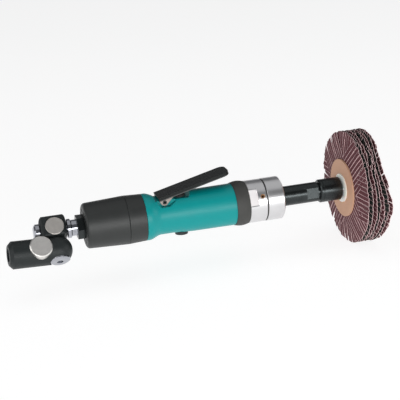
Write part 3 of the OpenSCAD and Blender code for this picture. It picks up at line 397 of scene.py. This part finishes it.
def bright_turned(colours, name, milled_r=0.0):
    """Bright metal with the rings of the turning tool and faint smudges. What lies
    nearer the axis than milled_r is a milled face, paler and more matt."""
    f = Finish(name)
    marks = f.tool_marks(0.22 * MM)
    smudge = f.noise(9 * MM, 4.0)
    base = colours.bright
    colour = f.mix(shade(base, 0.93), shade(base, 1.03), smudge)
    colour = f.mix(colour, shade(base, 0.82), f.smooth(marks, 0.62, 0.85) * 0.5)
    roughness = 0.25 + 0.06 * smudge + 0.06 * marks
    if milled_r:
        out = f.about(ORIGIN, LINE_AXIS)[1]
        milled = 1.0 - f.smooth(out, milled_r - 0.5 * MM, milled_r - 0.2 * MM)
        colour = f.mix(colour, (0.95, 0.92, 0.92), milled)
        roughness = roughness + 0.25 * milled
    return f.surface(Base_Color=colour, Metallic=1.0, Roughness=roughness,
                     Normal=f.bump(marks, 0.006 * MM))


def blackened_steel(colours):
    """Oiled black oxide over turned steel, thinner where it is handled."""
    f = Finish("blackened_steel")
    marks = f.tool_marks(0.3 * MM)
    oil = f.noise(6 * MM, 4.0)
    worn = f.smooth(f.noise(2.2 * MM, 5.0, (3.0, 1.0, 1.0)), 0.63, 0.78)
    colour = f.mix(shade(colours.blackened, 0.75), shade(colours.blackened, 1.25), oil)
    colour = f.mix(colour, shade(colours.blackened, 2.6), worn * 0.35)
    return f.surface(
        Base_Color=colour, Metallic=1.0, Roughness=0.20 + 0.10 * oil + 0.05 * marks,
        Normal=f.bump(marks, 0.004 * MM))


def ground_steel():
    """Ground steel of the inner parts, with an oil film."""
    f = Finish("ground_steel")
    marks = f.tool_marks(0.35 * MM)
    oil = f.noise(5 * MM, 3.0)
    colour = f.mix((0.44, 0.44, 0.45), (0.60, 0.60, 0.60), oil)
    return f.surface(
        Base_Color=colour, Metallic=1.0, Roughness=0.24 + 0.10 * oil + 0.06 * marks,
        Normal=f.bump(marks, 0.005 * MM))


def spring_steel():
    """Drawn wire and clip steel, with marks along and across at random."""
    f = Finish("spring_steel")
    marks = f.noise(0.25 * MM, 3.0)
    colour = f.mix((0.33, 0.33, 0.34), (0.52, 0.51, 0.50), marks)
    return f.surface(Base_Color=colour, Metallic=1.0, Roughness=0.26 + 0.12 * marks,
                     Normal=f.bump(marks, 0.004 * MM))


def lever_paint(colours, pivot):
    """Black paint over pressed steel, with a painted highlight along the flange's lower
    edge. The ears below the flange are bare, with a dark eye round the pin."""
    f = Finish("lever_paint")
    up = (-math.sin(LEVER_RISE), 0.0, math.cos(LEVER_RISE))
    ahead = (math.cos(LEVER_RISE), 0.0, math.sin(LEVER_RISE))
    height = f.about(pivot, up)[0]
    reach = f.about(pivot, ahead)[0]
    bare = 1.0 - f.smooth(height, FLANGE_FOOT - 0.25 * MM, FLANGE_FOOT + 0.05 * MM)
    bare = bare * (1.0 - f.smooth(reach, EAR_REACH, EAR_REACH + 1.0 * MM))
    cloud = f.noise(5 * MM, 4.0)
    chip = f.smooth(f.noise(1.1 * MM, 4.0), 0.68, 0.74) * 0.3
    paint = f.mix(shade(colours.lever, 0.75), shade(colours.lever, 1.2), cloud)
    # A pale line along the flange's lower edge: painted highlight
    painted_edge_highlight = 1.0 - f.smooth(height, FLANGE_FOOT + 0.45 * MM, FLANGE_FOOT + 0.95 * MM)
    paint = f.mix(paint, (0.13, 0.135, 0.13), painted_edge_highlight * (0.45 + 0.5 * cloud))
    metal = f.mix((0.20, 0.17, 0.15), (0.42, 0.37, 0.34), f.noise(1.5 * MM, 4.0))
    eye = f.smooth(f.about(pivot, (0.0, 1.0, 0.0))[1], 1.45 * MM, 1.8 * MM)
    metal = f.mix((0.035, 0.028, 0.025), metal, eye)
    return f.surface(
        Base_Color=f.mix(f.mix(paint, (0.10, 0.085, 0.075), chip), metal, bare),
        Metallic=bare * 0.9, Roughness=0.22 + 0.08 * cloud + 0.14 * bare,
        Specular_IOR_Level=0.25,
        Normal=f.bump(f.noise(0.9 * MM), 0.010 * MM))


def black_anodised(colours):
    """Bead-blasted, black anodised aluminium, paler on its worn parts."""
    f = Finish("black_anodised")
    cloud = f.noise(6 * MM, 4.0)
    beads = f.noise(0.22 * MM, 1.0)
    rub = f.smooth(f.noise(3 * MM, 5.0), 0.58, 0.75)
    colour = f.mix(shade(colours.swivel, 0.85), shade(colours.swivel, 1.25), cloud)
    colour = f.mix(colour, shade(colours.swivel, 2.2), rub * 0.3)
    return f.surface(
        Base_Color=colour, Metallic=0.1, Roughness=0.42 + 0.10 * cloud,
        Specular_IOR_Level=0.3, Normal=f.bump(beads, 0.012 * MM))


def faced_plug(name, centre, axis, tint):
    """A plug's satin face: rings of a facing cut round its own centre."""
    f = Finish(name)
    out = f.about(centre, axis)[1]
    rings = f.noise(0.16 * MM, 2.0, place=f.join(out, 0.0, 0.0))
    stain = f.noise(3.5 * MM, 4.0)
    colour = f.mix(shade(tint, 0.86), shade(tint, 1.1), stain)
    return f.surface(
        Base_Color=colour, Metallic=1.0, Roughness=0.30 + 0.12 * stain,
        Normal=f.bump(rings, 0.008 * MM))


def chrome_plate():
    """Chrome plate with faint ripples and water marks."""
    f = Finish("chrome_plate")
    ripple = f.noise(1.5 * MM, 2.0)
    marks = f.smooth(f.noise(4 * MM, 4.0), 0.52, 0.70)
    colour = f.mix((0.44, 0.45, 0.49), (0.34, 0.35, 0.37), marks * 0.6)
    return f.surface(Base_Color=colour, Metallic=1.0, Roughness=0.08 + 0.12 * marks,
                     Normal=f.bump(ripple, 0.06 * MM))


def brass_screw(centre, axis):
    """Turned brass with painted shade in its socket, whose middle is at centre."""
    f = Finish("brass_screw")
    marks = f.noise(0.3 * MM, 3.0)
    out = f.about(centre, axis)[1]
    colour = f.mix((0.50, 0.24, 0.11), (0.74, 0.44, 0.24), marks)
    # Near-black round the socket's middle: painted shade in the hollow
    colour = f.mix((0.035, 0.025, 0.02), colour, f.smooth(out, 0.9 * MM, 1.35 * MM))
    return f.surface(Base_Color=colour, Metallic=1.0, Roughness=0.28 + 0.12 * marks,
                     Normal=f.bump(marks, 0.006 * MM))


def seal_rubber():
    """Black seals with a bloom on them."""
    f = Finish("seal_rubber")
    bloom = f.noise(1.5 * MM, 4.0)
    colour = f.mix((0.012, 0.012, 0.012), (0.035, 0.034, 0.032), bloom)
    return f.surface(Base_Color=colour, Roughness=0.48 + 0.15 * bloom,
                     Normal=f.bump(f.noise(0.2 * MM), 0.006 * MM))


def pressed_felt():
    """Grey-brown pressed felt with matted fibres."""
    f = Finish("pressed_felt")
    fibres = f.noise(0.5 * MM, 5.0, (3.0, 1.0, 1.0))
    colour = f.mix((0.20, 0.18, 0.14), (0.42, 0.39, 0.33), fibres)
    return f.surface(Base_Color=colour, Roughness=0.95, Sheen_Weight=0.3,
                     Normal=f.bump(fibres, 0.15 * MM))


def vane_composite():
    """Resin-bonded cloth of the vanes, laid in plies."""
    f = Finish("vane_composite")
    plies = f.noise(0.35 * MM, 3.0, (12.0, 1.0, 1.0))
    colour = f.mix((0.27, 0.15, 0.07), (0.46, 0.30, 0.17), plies)
    return f.surface(Base_Color=colour, Roughness=0.55 + 0.12 * plies,
                     Normal=f.bump(plies, 0.01 * MM))


def fibre_board(colours):
    """Vulcanised fibre of the flange discs: soft clouds, fibres and specks."""
    f = Finish("fibre_board")
    cloud = f.noise(11 * MM, 3.0)
    fibres = f.noise(0.7 * MM, 4.0, (1.0, 3.0, 1.0))
    speck = f.smooth(f.cells(1.6 * MM), 0.02, 0.12)
    colour = f.mix(shade(colours.fibre, 0.92), shade(colours.fibre, 1.08), cloud)
    colour = f.mix(colour, shade(colours.fibre, 0.78), f.smooth(fibres, 0.52, 0.7) * 0.4)
    colour = f.mix(shade(colours.fibre, 0.6), colour, speck)
    return f.surface(Base_Color=colour, Roughness=0.62 + 0.14 * fibres,
                     Normal=f.bump(fibres, 0.02 * MM))


def white_nylon(colours):
    """Moulded nylon with a trace of dust on it."""
    f = Finish("white_nylon")
    dust = f.noise(3 * MM, 5.0)
    colour = f.mix(colours.nylon, shade(colours.nylon, 0.88), f.smooth(dust, 0.5, 0.75))
    return f.surface(Base_Color=colour, Roughness=0.38 + 0.12 * dust,
                     Subsurface_Weight=0.1, Subsurface_Scale=0.002,
                     Normal=f.bump(f.noise(0.6 * MM), 0.006 * MM))


def abrasive_cloth(colours, mop):
    """Grit on the front, woven cloth on the back and pale threads along each cut. The
    back is near-black, and also stands for painted shade between the layers. The
    piece's own map gives the place across a finger in millimetres, from FRONT, the
    middle of the grit, by CUT, a cut side, to BACK, the middle of the back."""
    f = Finish("abrasive_cloth")
    across, along = f.split(f.node("ShaderNodeUVMap", {"uv_map": "finger"}))[:2]
    past_front, past_cut = (FRONT + CUT) / 2, (CUT + BACK) / 2
    back = f.smooth(across, past_cut - 1.0, past_cut + 1.0)
    cut = f.smooth(across, past_front - 1.0, past_front + 1.0) - back
    half = (mop.finger_w - mop.slit_w) / 2 / MM
    border = half - mop.edge_w / MM
    off = abs(across - BACK * back)
    ragged = f.noise(0.5 * MM, 2.0) * 0.22 - 0.11
    edge = f.smooth(off + ragged, border - 0.06, border + 0.06)
    edge = f.math("MAXIMUM", edge, cut)
    grit = f.noise(0.16 * MM, 3.0)
    cloud = f.noise(5 * MM, 4.0)
    front = f.mix(shade(colours.grit, 0.55), shade(colours.grit, 1.5), grit)
    front = f.mix(front, shade(colours.grit, 0.8), cloud * 0.6)
    weft = f.math("SINE", across * (2 * math.pi / WEAVE_PITCH))
    warp = f.math("SINE", along * (2 * math.pi / WEAVE_PITCH))
    weave = 0.5 + 0.5 * weft * warp
    # The back's near-black weave is also painted shade between the layers
    rear = f.mix(shade(colours.backing, 0.7), shade(colours.backing, 1.4), weave)
    thread = f.mix(shade(colours.thread, 0.7), shade(colours.thread, 1.15),
                   f.noise(0.25 * MM, 3.0))
    colour = f.mix(f.mix(front, rear, back), thread, edge * (1.0 - 0.5 * back))
    height = grit * (1.0 - back) + weave * back
    return f.surface(Base_Color=colour, Roughness=0.78 + 0.12 * grit,
                     Normal=f.bump(height, 0.035 * MM))


def studio_floor():
    """Pale matt floor."""
    f = Finish("studio_floor")
    cloud = f.noise(0.6, 2.0)
    colour = f.mix((0.33, 0.33, 0.33), (0.36, 0.36, 0.36), cloud)
    return f.surface(Base_Color=colour, Roughness=0.9, Specular_IOR_Level=0.0,
                     Emission_Color=(1.0, 1.0, 1.0), Emission_Strength=0.82)


# ---- Pieces ----

def dress(material, *nodes):
    """Gives CAD pieces their finish."""
    for name in nodes:
        for slot in frame["nodes"][name].material_slots:
            slot.material = material


def add_piece(name, mesh, body, material):
    """A finished piece at the origin that moves with a body."""
    mesh.materials.clear()
    mesh.materials.append(material)
    piece = bpy.data.objects.new(name, mesh)
    bpy.context.scene.collection.objects.link(piece)
    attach(piece, body)
    return piece


def soften(node, material, edge=0.0):
    """A merged copy of a CAD piece, with arcs shaded as one surface and, where edge is
    given, its sharp edges broken to that width."""
    source = frame["nodes"][node]
    mesh = source.data.copy()
    for name in ("custom_normal", "sharp_edge", "sharp_face"):
        if name in mesh.attributes:
            mesh.attributes.remove(mesh.attributes[name])
    work = bmesh.new()
    work.from_mesh(mesh)
    bmesh.ops.remove_doubles(work, verts=work.verts, dist=WELD_GAP)
    if edge:
        bmesh.ops.dissolve_limit(work, angle_limit=FLAT_ANGLE, verts=work.verts,
                                 edges=work.edges)
    work.to_mesh(mesh)
    work.free()
    mesh.shade_smooth()
    mesh.set_sharp_from_angle(angle=SHARP_ANGLE)
    piece = add_piece(node + "_finished", mesh, source["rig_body"], material)
    if edge:
        bevel = piece.modifiers.new("broken_edges", "BEVEL")
        bevel.limit_method = "ANGLE"
        bevel.angle_limit = SHARP_ANGLE
        bevel.width = edge
        bevel.segments = BEVEL_SEGMENTS
        bevel.use_clamp_overlap = True
        bevel.harden_normals = True
    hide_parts(node)
    return piece


def finger_faces(index):
    """Faces of boxes whose corners are index[..., station, corner]: four sides along
    each box and a face at either end."""
    side = [np.stack([index[..., :-1, c], index[..., :-1, (c + 1) % 4],
                      index[..., 1:, (c + 1) % 4], index[..., 1:, c]], -1)
            for c in range(4)]
    sides = np.stack(side, -2).reshape(-1, 4)
    starts = index[..., 0, ::-1].reshape(-1, 4)
    ends = index[..., -1, :].reshape(-1, 4)
    return sides, starts, ends


def sheet_bend(angle, share, layer, layers, rng):
    """How far a sheet stands back from its plane at an angle and at a share of the way
    out. The rim's flare grows from the first sheet to the last, less a hump at the angle
    where the sheets are pressed together, and more at the one where they gape, and three
    slow waves of random phase are added. It is all times the share to
    the power 1.5. A hump is exp(k (cos(angle - middle) - 1))."""
    depth = layer / (layers - 1)
    pressed = np.exp(9.0 * (np.cos(angle - PRESSED_AT) - 1))
    gaping = np.exp(12.0 * (np.cos(angle - GAPING_AT) - 1))
    flare = (2.4 - 0.9 * np.cos(angle) + depth * (1.2 - 4.4 * pressed)
             + 4.6 * depth ** 3 * gaping) * MM
    waves = sum(
        size * np.cos(count * angle + rng.uniform(0, 2 * np.pi))
        for count, size in ((2, 0.45 * MM), (3, 0.4 * MM), (5, 0.25 * MM)))
    return (flare + waves * (0.12 + 0.78 * depth)) * share ** 1.5


def finger_shape(x_mid, outer_r, layer, layers, turn, mop):
    """Points of a layer's fingers, and the place of each across its finger and along its
    petal. A point lies s along its petal and d across it. s runs from the root circle to
    the outer circle, less what the finger is short, and d is widened by the splay and
    moved by the sway, which both grow as the square of the way along. Its share is how
    far out it lies between the two circles. It stands back by its cross's lift and half
    the cloth, the sheet's bend, the petal's tilt times the share, the finger's curl and
    ripple times the share squared, and its twist times the share times d from the
    finger's middle."""
    rng = np.random.default_rng(mop.seed + 101 * layer)
    shape = (PETALS, mop.fingers, mop.stations, 4)
    petal = np.arange(PETALS).reshape(-1, 1, 1, 1)
    finger = np.arange(mop.fingers).reshape(1, -1, 1, 1)
    t = np.linspace(0.0, 1.0, mop.stations).reshape(1, 1, -1, 1)
    side = np.array([-1.0, 1.0, 1.0, -1.0]).reshape(1, 1, 1, 4)
    face = np.array([1.0, 1.0, -1.0, -1.0]).reshape(1, 1, 1, 4)
    half = (mop.finger_w - mop.slit_w) / 2
    middle = (finger - (mop.fingers - 1) / 2) * mop.finger_w
    d = middle + side * half
    draw = rng.normal(size=(6, PETALS, mop.fingers, 1, 1))
    short = np.abs(draw[0]) * 0.22 * MM
    root = np.sqrt(np.maximum(mop.root_r ** 2 - d ** 2, (6 * MM) ** 2))
    s = root + (np.sqrt(outer_r ** 2 - d ** 2) - short - root) * t
    sway = draw[1] * 0.22 * MM * t ** 2
    splay = 1.0 + 0.03 * t ** 2 * np.abs(draw[2][:, :1])
    across = d * splay + sway
    out = np.hypot(s, across)
    share = np.clip((out - mop.root_r) / (outer_r - mop.root_r), 0, 1)
    angle = turn + petal * (2 * math.pi / PETALS) + np.arctan2(across, s)
    rear_cross = (petal % 2) * 2.0 - 1.0
    lift = rear_cross * mop.cloth_t * 0.56
    tilt = rng.normal(size=(PETALS, 1, 1, 1)) * 0.42 * MM
    curl = draw[3] * 0.30 * MM
    twist = draw[4] * 0.10
    ripple = 0.16 * MM * np.sin(8.0 * t + 6.0 * draw[5])
    x = (x_mid + lift - face * mop.cloth_t / 2
         + sheet_bend(angle, share, layer, layers, rng)
         + tilt * share + (curl + ripple) * share ** 2 + twist * (d - middle) * share)
    parts = (x, out * np.cos(angle), out * np.sin(angle), (d - middle) / MM, s / MM)
    x, y, z, lateral, along = (np.broadcast_to(part, shape) for part in parts)
    return np.stack([x, y, z], -1), lateral.reshape(-1), along.reshape(-1)


def finger_map(sides, caps, lateral, along, layer):
    """Map of the fingers' faces, sides first and then ends: across the finger, told
    apart by FRONT, CUT and BACK, and along its petal. Every second layer is turned
    round, so that near-black backs stand between the layers as painted shade."""
    # Every second layer turns its near-black back ahead: painted shade between layers
    ahead, behind = (FRONT, BACK) if layer % 2 == 0 else (BACK, FRONT)
    kind = np.tile([ahead, CUT, behind, CUT], len(sides) // 4)
    is_cut = (kind == CUT)[:, None]
    u = np.where(is_cut, CUT, lateral[sides] + kind[:, None])
    u = np.concatenate([u, np.full(caps.shape, CUT)])
    return np.stack([u, along[np.concatenate([sides, caps])]], -1)


def mop_sheet_mesh(name, x_mid, outer_r, layer, layers, turn, mop):
    """One layer of the mop: two crosses of cloth turned 45 degrees, each petal slit into
    fingers, round an unslit hub."""
    points, lateral, along = finger_shape(x_mid, outer_r, layer, layers, turn, mop)
    index = np.arange(lateral.size).reshape(points.shape[:-1])
    sides, starts, ends = finger_faces(index)
    caps = np.concatenate([starts, ends])
    hub_points, hub_faces, hub_uv = hub_ring(x_mid, mop, index.size)
    points = np.concatenate([points.reshape(-1, 3), hub_points])
    faces = np.concatenate([sides, caps, hub_faces])
    uv = np.concatenate([finger_map(sides, caps, lateral, along, layer), hub_uv])
    mesh = bpy.data.meshes.new(name)
    mesh.from_pydata(points.tolist(), [], faces.tolist())
    layer_map = mesh.uv_layers.new(name="finger")
    layer_map.data.foreach_set("uv", uv.astype(np.float32).ravel())
    return mesh


def hub_ring(x_mid, mop, first):
    """The unslit middle of a layer: a rectangle of inner and outer radius by the cloth's
    thickness, turned about the spindle."""
    a = np.linspace(0.0, 2 * np.pi, HUB_TURNS, endpoint=False).reshape(-1, 1)
    reach = mop.root_r + 0.8 * MM
    radius = np.array([HUB_BORE_R, reach, reach, HUB_BORE_R]).reshape(1, 4)
    x = x_mid + np.array([-1.0, -1.0, 1.0, 1.0]).reshape(1, 4) * mop.cloth_t * 1.06
    points = np.stack([np.broadcast_to(x, (HUB_TURNS, 4)), radius * np.cos(a),
                       radius * np.sin(a)], -1).reshape(-1, 3)
    index = first + np.arange(HUB_TURNS * 4).reshape(HUB_TURNS, 4)
    ahead = np.roll(index, -1, 0)
    quads = [np.stack([index[:, c], ahead[:, c], ahead[:, (c + 1) % 4],
                       index[:, (c + 1) % 4]], -1) for c in range(4)]
    kind = np.repeat([FRONT, CUT, BACK, CUT], HUB_TURNS)
    faces = np.concatenate(quads)
    uv = np.stack([np.repeat(kind[:, None], 4, 1), np.zeros(faces.shape)], -1)
    return points, faces, uv


# ---- Steps ----

class FinishStep:
    """What every step has in common."""

    bl_options = {"REGISTER", "UNDO"}


class GRINDER_OT_handle(FinishStep, bpy.types.Operator):
    """Coat the handle's shell"""

    bl_idname = "grinder.handle"
    bl_label = "Handle shell"

    def execute(self, context):
        rear_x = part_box("handle_housing")[0].x
        coating = shell_coating(context.scene.grinder_colours, rear_x)
        soften("handle_housing", coating)
        return {"FINISHED"}


class GRINDER_OT_sleeve(FinishStep, bpy.types.Operator):
    """Finish the rear sleeve, its band, the felt and the inlet bushing"""

    bl_idname = "grinder.sleeve"
    bl_label = "Rear sleeve"

    def execute(self, context):
        colours = context.scene.grinder_colours
        black = moulded_black(colours)
        soften("rear_sleeve", black)
        soften("sleeve_band", black)
        dress(pressed_felt(), "muffler_felt")
        soften("inlet_bushing", shared(blackened_steel, colours), edge=0.35 * MM)
        return {"FINISHED"}


class GRINDER_OT_grip_ring(FinishStep, bpy.types.Operator):
    """Finish the rubber ring between handle and gear case"""

    bl_idname = "grinder.grip_ring"
    bl_label = "Grip ring"

    def execute(self, context):
        soften("grip_ring", grip_rubber(context.scene.grinder_colours))
        return {"FINISHED"}


class GRINDER_OT_nose(FinishStep, bpy.types.Operator):
    """Finish the gear case, the nose, the set screw and the seal between them"""

    bl_idname = "grinder.nose"
    bl_label = "Nose and gear case"

    def execute(self, context):
        colours = context.scene.grinder_colours
        case_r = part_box("gear_case")[1].z
        dress(bright_turned(colours, "case_turned", case_r), "gear_case")
        dress(bright_turned(colours, "bright_turned"), "nose_cap")
        low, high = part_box("case_set_screw")
        middle = (low + high) / 2
        outward = Vector((0.0, middle.y, middle.z)).normalized()
        dress(brass_screw(tuple(middle), tuple(outward)), "case_set_screw")
        dress(seal_rubber(), "case_o_ring")
        return {"FINISHED"}


class GRINDER_OT_lever(FinishStep, bpy.types.Operator):
    """Paint the throttle lever and finish its pin"""

    bl_idname = "grinder.lever"
    bl_label = "Throttle lever"

    def execute(self, context):
        pin_low, pin_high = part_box("lever_pin")
        colours = context.scene.grinder_colours
        paint = lever_paint(colours, tuple((pin_low + pin_high) / 2))
        soften("throttle_lever", paint, edge=0.5 * MM)
        dress(shared(blackened_steel, colours), "lever_pin")
        return {"FINISHED"}


class GRINDER_OT_valve(FinishStep, bpy.types.Operator):
    """Finish the valve's stem, spring and clip and the speed regulator. The valve's
    bushing and seat ring keep their packed black"""

    bl_idname = "grinder.valve"
    bl_label = "Valve and regulator"

    def execute(self, context):
        wire = spring_steel()
        dress(wire, "valve_stem", "regulator_clip")
        dress(shared(blackened_steel, context.scene.grinder_colours), "speed_regulator")
        self.coil_spring(wire)
        return {"FINISHED"}

    def coil_spring(self, wire):
        """A softened copy of the spring, with a mesh of its own."""
        low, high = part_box("valve_spring")
        stem = next(j for j in frame["joints"] if j["name"] == "valve_travel")
        seat_z = stem["deforming_nodes"][0]["fixed_end_z_m"]
        free = max(abs(high.z - seat_z), abs(low.z - seat_z))
        middle = (low + high) / 2
        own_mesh(soften("valve_spring", wire), "valve_travel", axis=(0.0, 0.0, 1.0),
                  anchor=(middle.x, middle.y, seat_z),
                  keep=1.0 - stem["range_m"][1] / free)


class GRINDER_OT_spindle(FinishStep, bpy.types.Operator):
    """Finish the spindle, the collet and its nut"""

    bl_idname = "grinder.spindle"
    bl_label = "Spindle and collet"

    def execute(self, context):
        blackened = shared(blackened_steel, context.scene.grinder_colours)
        dress(blackened, "output_spindle", "collet_nut")
        dress(shared(ground_steel), "collet")
        return {"FINISHED"}


class GRINDER_OT_swivel(FinishStep, bpy.types.Operator):
    """Finish the air swivel's bodies, plugs, bolt and stem. Its O-rings keep their
    packed black"""

    bl_idname = "grinder.swivel"
    bl_label = "Air swivel"

    def execute(self, context):
        colours = context.scene.grinder_colours
        anodised = black_anodised(colours)
        soften("swivel_block", anodised, edge=0.5 * MM)
        soften("swivel_tail", anodised, edge=0.3 * MM)
        dress(chrome_plate(), "swivel_stem", "stem_cap", "elbow_bolt")
        for node, tint in (("block_plug", (0.70, 0.665, 0.625)),
                           ("tail_plug", (0.82, 0.80, 0.77))):
            low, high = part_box(node)
            centre = tuple((low + high) / 2)
            axis = tuple(self.face_of(node))
            dress(faced_plug(node + "_face", centre, axis, tint), node)
        return {"FINISHED"}

    def face_of(self, node):
        """The direction that a plug faces: the axis along which its points spread
        least, by their singular vectors."""
        mesh = frame["nodes"][node].data
        points = np.zeros(len(mesh.vertices) * 3)
        mesh.vertices.foreach_get("co", points)
        points = points.reshape(-1, 3)
        spread = np.linalg.svd(points - points.mean(0), full_matrices=False)[2]
        return spread[2]


class GRINDER_OT_mop_hub(FinishStep, bpy.types.Operator):
    """Finish the mop's arbor, bushes, flange discs, spacers and screw"""

    bl_idname = "grinder.mop_hub"
    bl_label = "Mop hub"

    def execute(self, context):
        colours = context.scene.grinder_colours
        fibre = fibre_board(colours)
        ground = shared(ground_steel)
        dress(ground, "mop_arbor")
        soften("arbor_screw", ground, edge=0.25 * MM)
        dress(white_nylon(colours), "hub_bushes")
        dress(fibre, "front_flange_disc", "rear_flange_disc", "sheet_spacers")
        return {"FINISHED"}


class GRINDER_OT_mop_sheets(FinishStep, bpy.types.Operator):
    """Make the slit abrasive sheets"""

    bl_idname = "grinder.mop_sheets"
    bl_label = "Abrasive sheets"

    def execute(self, context):
        mop = context.scene.grinder_mop
        cloth = abrasive_cloth(context.scene.grinder_colours, mop)
        nodes = sorted(n for n in frame["nodes"] if n.startswith("sanding_sheet_"))
        if not nodes:
            raise RuntimeError("the frame has no sanding sheets")
        for layer, node in enumerate(nodes):
            low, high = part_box(node)
            turn = math.radians(45.0 + 9.0 * layer)
            mesh = mop_sheet_mesh(node + "_cloth", (low.x + high.x) / 2, high.z, layer,
                                  len(nodes), turn, mop)
            piece = add_piece(node + "_cloth", mesh, "spindle", cloth)
            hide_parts(node)
        return {"FINISHED"}


class GRINDER_OT_motor(FinishStep, bpy.types.Operator):
    """Finish the motor and the gears inside"""

    bl_idname = "grinder.motor"
    bl_label = "Motor and gears"

    def execute(self, context):
        dress(shared(ground_steel), "motor_cylinder", "rear_end_plate",
              "front_end_plate", "bearing_outer_rings", "rotor", "rotor_bearing_inners",
              "sun_gear", "planet_carrier", "planet_pins", "spindle_bearing_inners",
              "planet_gear_1", "planet_gear_2", "planet_gear_3")
        dress(vane_composite(), "rotor_vanes")
        return {"FINISHED"}


class GRINDER_OT_studio(FinishStep, bpy.types.Operator):
    """Set the floor, the lamps and the camera"""

    bl_idname = "grinder.studio"
    bl_label = "Studio"

    def execute(self, context):
        scene = context.scene
        studio = scene.grinder_studio
        scene.view_settings.view_transform = "Standard"
        self.lay_floor(scene)
        self.hang_lamps(scene)
        self.fill_room(scene, studio)
        self.set_camera(scene, studio)
        return {"FINISHED"}

    def lay_floor(self, scene):
        """A square floor under the lowest point of the part."""
        level = CAD_BOX[0][2]
        corners = [(x * FLOOR_REACH, y * FLOOR_REACH, level)
                   for x, y in ((-1, -1), (1, -1), (1, 1), (-1, 1))]
        mesh = bpy.data.meshes.new("floor")
        mesh.from_pydata(corners, [], [(0, 1, 2, 3)])
        mesh.materials.append(studio_floor())
        floor = bpy.data.objects.new("floor", mesh)
        scene.collection.objects.link(floor)

    def hang_lamps(self, scene):
        """Soft boxes: place, width, height and watts of each, all facing the tool."""
        boxes = {
            "front_low": ((-0.15, -1.25, 0.16), 1.7, 0.34, 11.5),
            "overhead": ((-0.05, 0.10, 1.15), 1.9, 1.4, 3.4),
            "right_side": ((1.30, -0.45, 0.45), 0.7, 0.6, 3.0),
            "left_side": ((-1.40, -0.10, 0.50), 0.7, 0.6, 2.5),
        }
        for name, (place, width, height, power) in boxes.items():
            light = bpy.data.lights.new(name, "AREA")
            light.shape = "RECTANGLE"
            light.size = width
            light.size_y = height
            light.energy = power
            lamp = bpy.data.objects.new(name, light)
            lamp.location = place
            towards = Vector(LAMP_AIM) - Vector(place)
            lamp.rotation_euler = towards.to_track_quat("-Z", "Y").to_euler()
            lamp.visible_camera = False
            scene.collection.objects.link(lamp)

    def fill_room(self, scene, studio):
        """Light from all round: pale at the horizon, dimmer overhead."""
        world = bpy.data.worlds.new("room")
        g = Graph(world)
        height = g.split(g.node("ShaderNodeTexCoord", out="Generated"))[2]
        upper = g.smooth(height, 0.05, 0.26)
        colour = g.mix(studio.horizon, studio.zenith, upper)
        room = g.node("ShaderNodeBackground", (), {"Color": colour, "Strength": 1.0})
        g.node("ShaderNodeOutputWorld", (), {"Surface": room})
        scene.world = world

    def set_camera(self, scene, studio):
        """The camera stands back from its aim along the view and is rolled about it."""
        az, el, roll = studio.azimuth, studio.elevation, studio.roll
        ahead = Vector((math.sin(az) * math.cos(el), math.cos(az) * math.cos(el),
                        -math.sin(el)))
        level = Vector((math.cos(az), -math.sin(az), 0.0))
        above = level.cross(ahead)
        right = level * math.cos(roll) + above * math.sin(roll)
        up = above * math.cos(roll) - level * math.sin(roll)
        data = bpy.data.cameras.new("studio_camera")
        data.lens = studio.lens
        data.sensor_width = SENSOR_WIDTH
        data.clip_start, data.clip_end = CLIP_RANGE
        camera = bpy.data.objects.new("studio_camera", data)
        turn = Matrix((right, up, -ahead)).transposed().to_4x4()
        place = Vector(studio.aim) - ahead * studio.distance
        camera.matrix_world = Matrix.Translation(place) @ turn
        scene.collection.objects.link(camera)
        scene.camera = camera


STEPS = (
    GRINDER_OT_studio, GRINDER_OT_handle, GRINDER_OT_sleeve, GRINDER_OT_grip_ring,
    GRINDER_OT_nose, GRINDER_OT_lever, GRINDER_OT_valve, GRINDER_OT_spindle,
    GRINDER_OT_swivel, GRINDER_OT_mop_hub, GRINDER_OT_mop_sheets, GRINDER_OT_motor,
)


class GRINDER_PT_sidebar(bpy.types.Panel):
    """Lists the steps and what they take"""

    bl_idname = "GRINDER_PT_sidebar"
    bl_label = "Air grinder"
    bl_space_type = "VIEW_3D"
    bl_region_type = "UI"
    bl_category = "Grinder"

    def draw(self, context):
        """A button for each step, then the sizes and colours in boxes."""
        column = self.layout.column()
        for step in STEPS:
            column.operator(step.bl_idname)
        for group in (context.scene.grinder_colours, context.scene.grinder_mop,
                      context.scene.grinder_studio):
            box = self.layout.box()
            for name in group.bl_rna.properties.keys():
                if name not in ("rna_type", "name"):
                    box.prop(group, name)


CLASSES = (GrinderColours, MopSizes, StudioSizes, *STEPS, GRINDER_PT_sidebar)


def register():
    """Adds the classes and the scene's properties, and forgets any shared material."""
    SHARED.clear()
    for item in CLASSES:
        bpy.utils.register_class(item)
    bpy.types.Scene.grinder_colours = bpy.props.PointerProperty(type=GrinderColours)
    bpy.types.Scene.grinder_mop = bpy.props.PointerProperty(type=MopSizes)
    bpy.types.Scene.grinder_studio = bpy.props.PointerProperty(type=StudioSizes)


def unregister():
    """Takes the properties and the classes away again."""
    del bpy.types.Scene.grinder_studio
    del bpy.types.Scene.grinder_mop
    del bpy.types.Scene.grinder_colours
    for item in reversed(CLASSES):
        bpy.utils.unregister_class(item)


def main():
    """Finishes the whole part."""
    register()
    bpy.ops.grinder.studio()
    bpy.ops.grinder.handle()
    bpy.ops.grinder.sleeve()
    bpy.ops.grinder.grip_ring()
    bpy.ops.grinder.nose()
    bpy.ops.grinder.lever()
    bpy.ops.grinder.valve()
    bpy.ops.grinder.spindle()
    bpy.ops.grinder.swivel()
    bpy.ops.grinder.mop_hub()
    bpy.ops.grinder.mop_sheets()
    bpy.ops.grinder.motor()


if __name__ == "__main__":
    main()
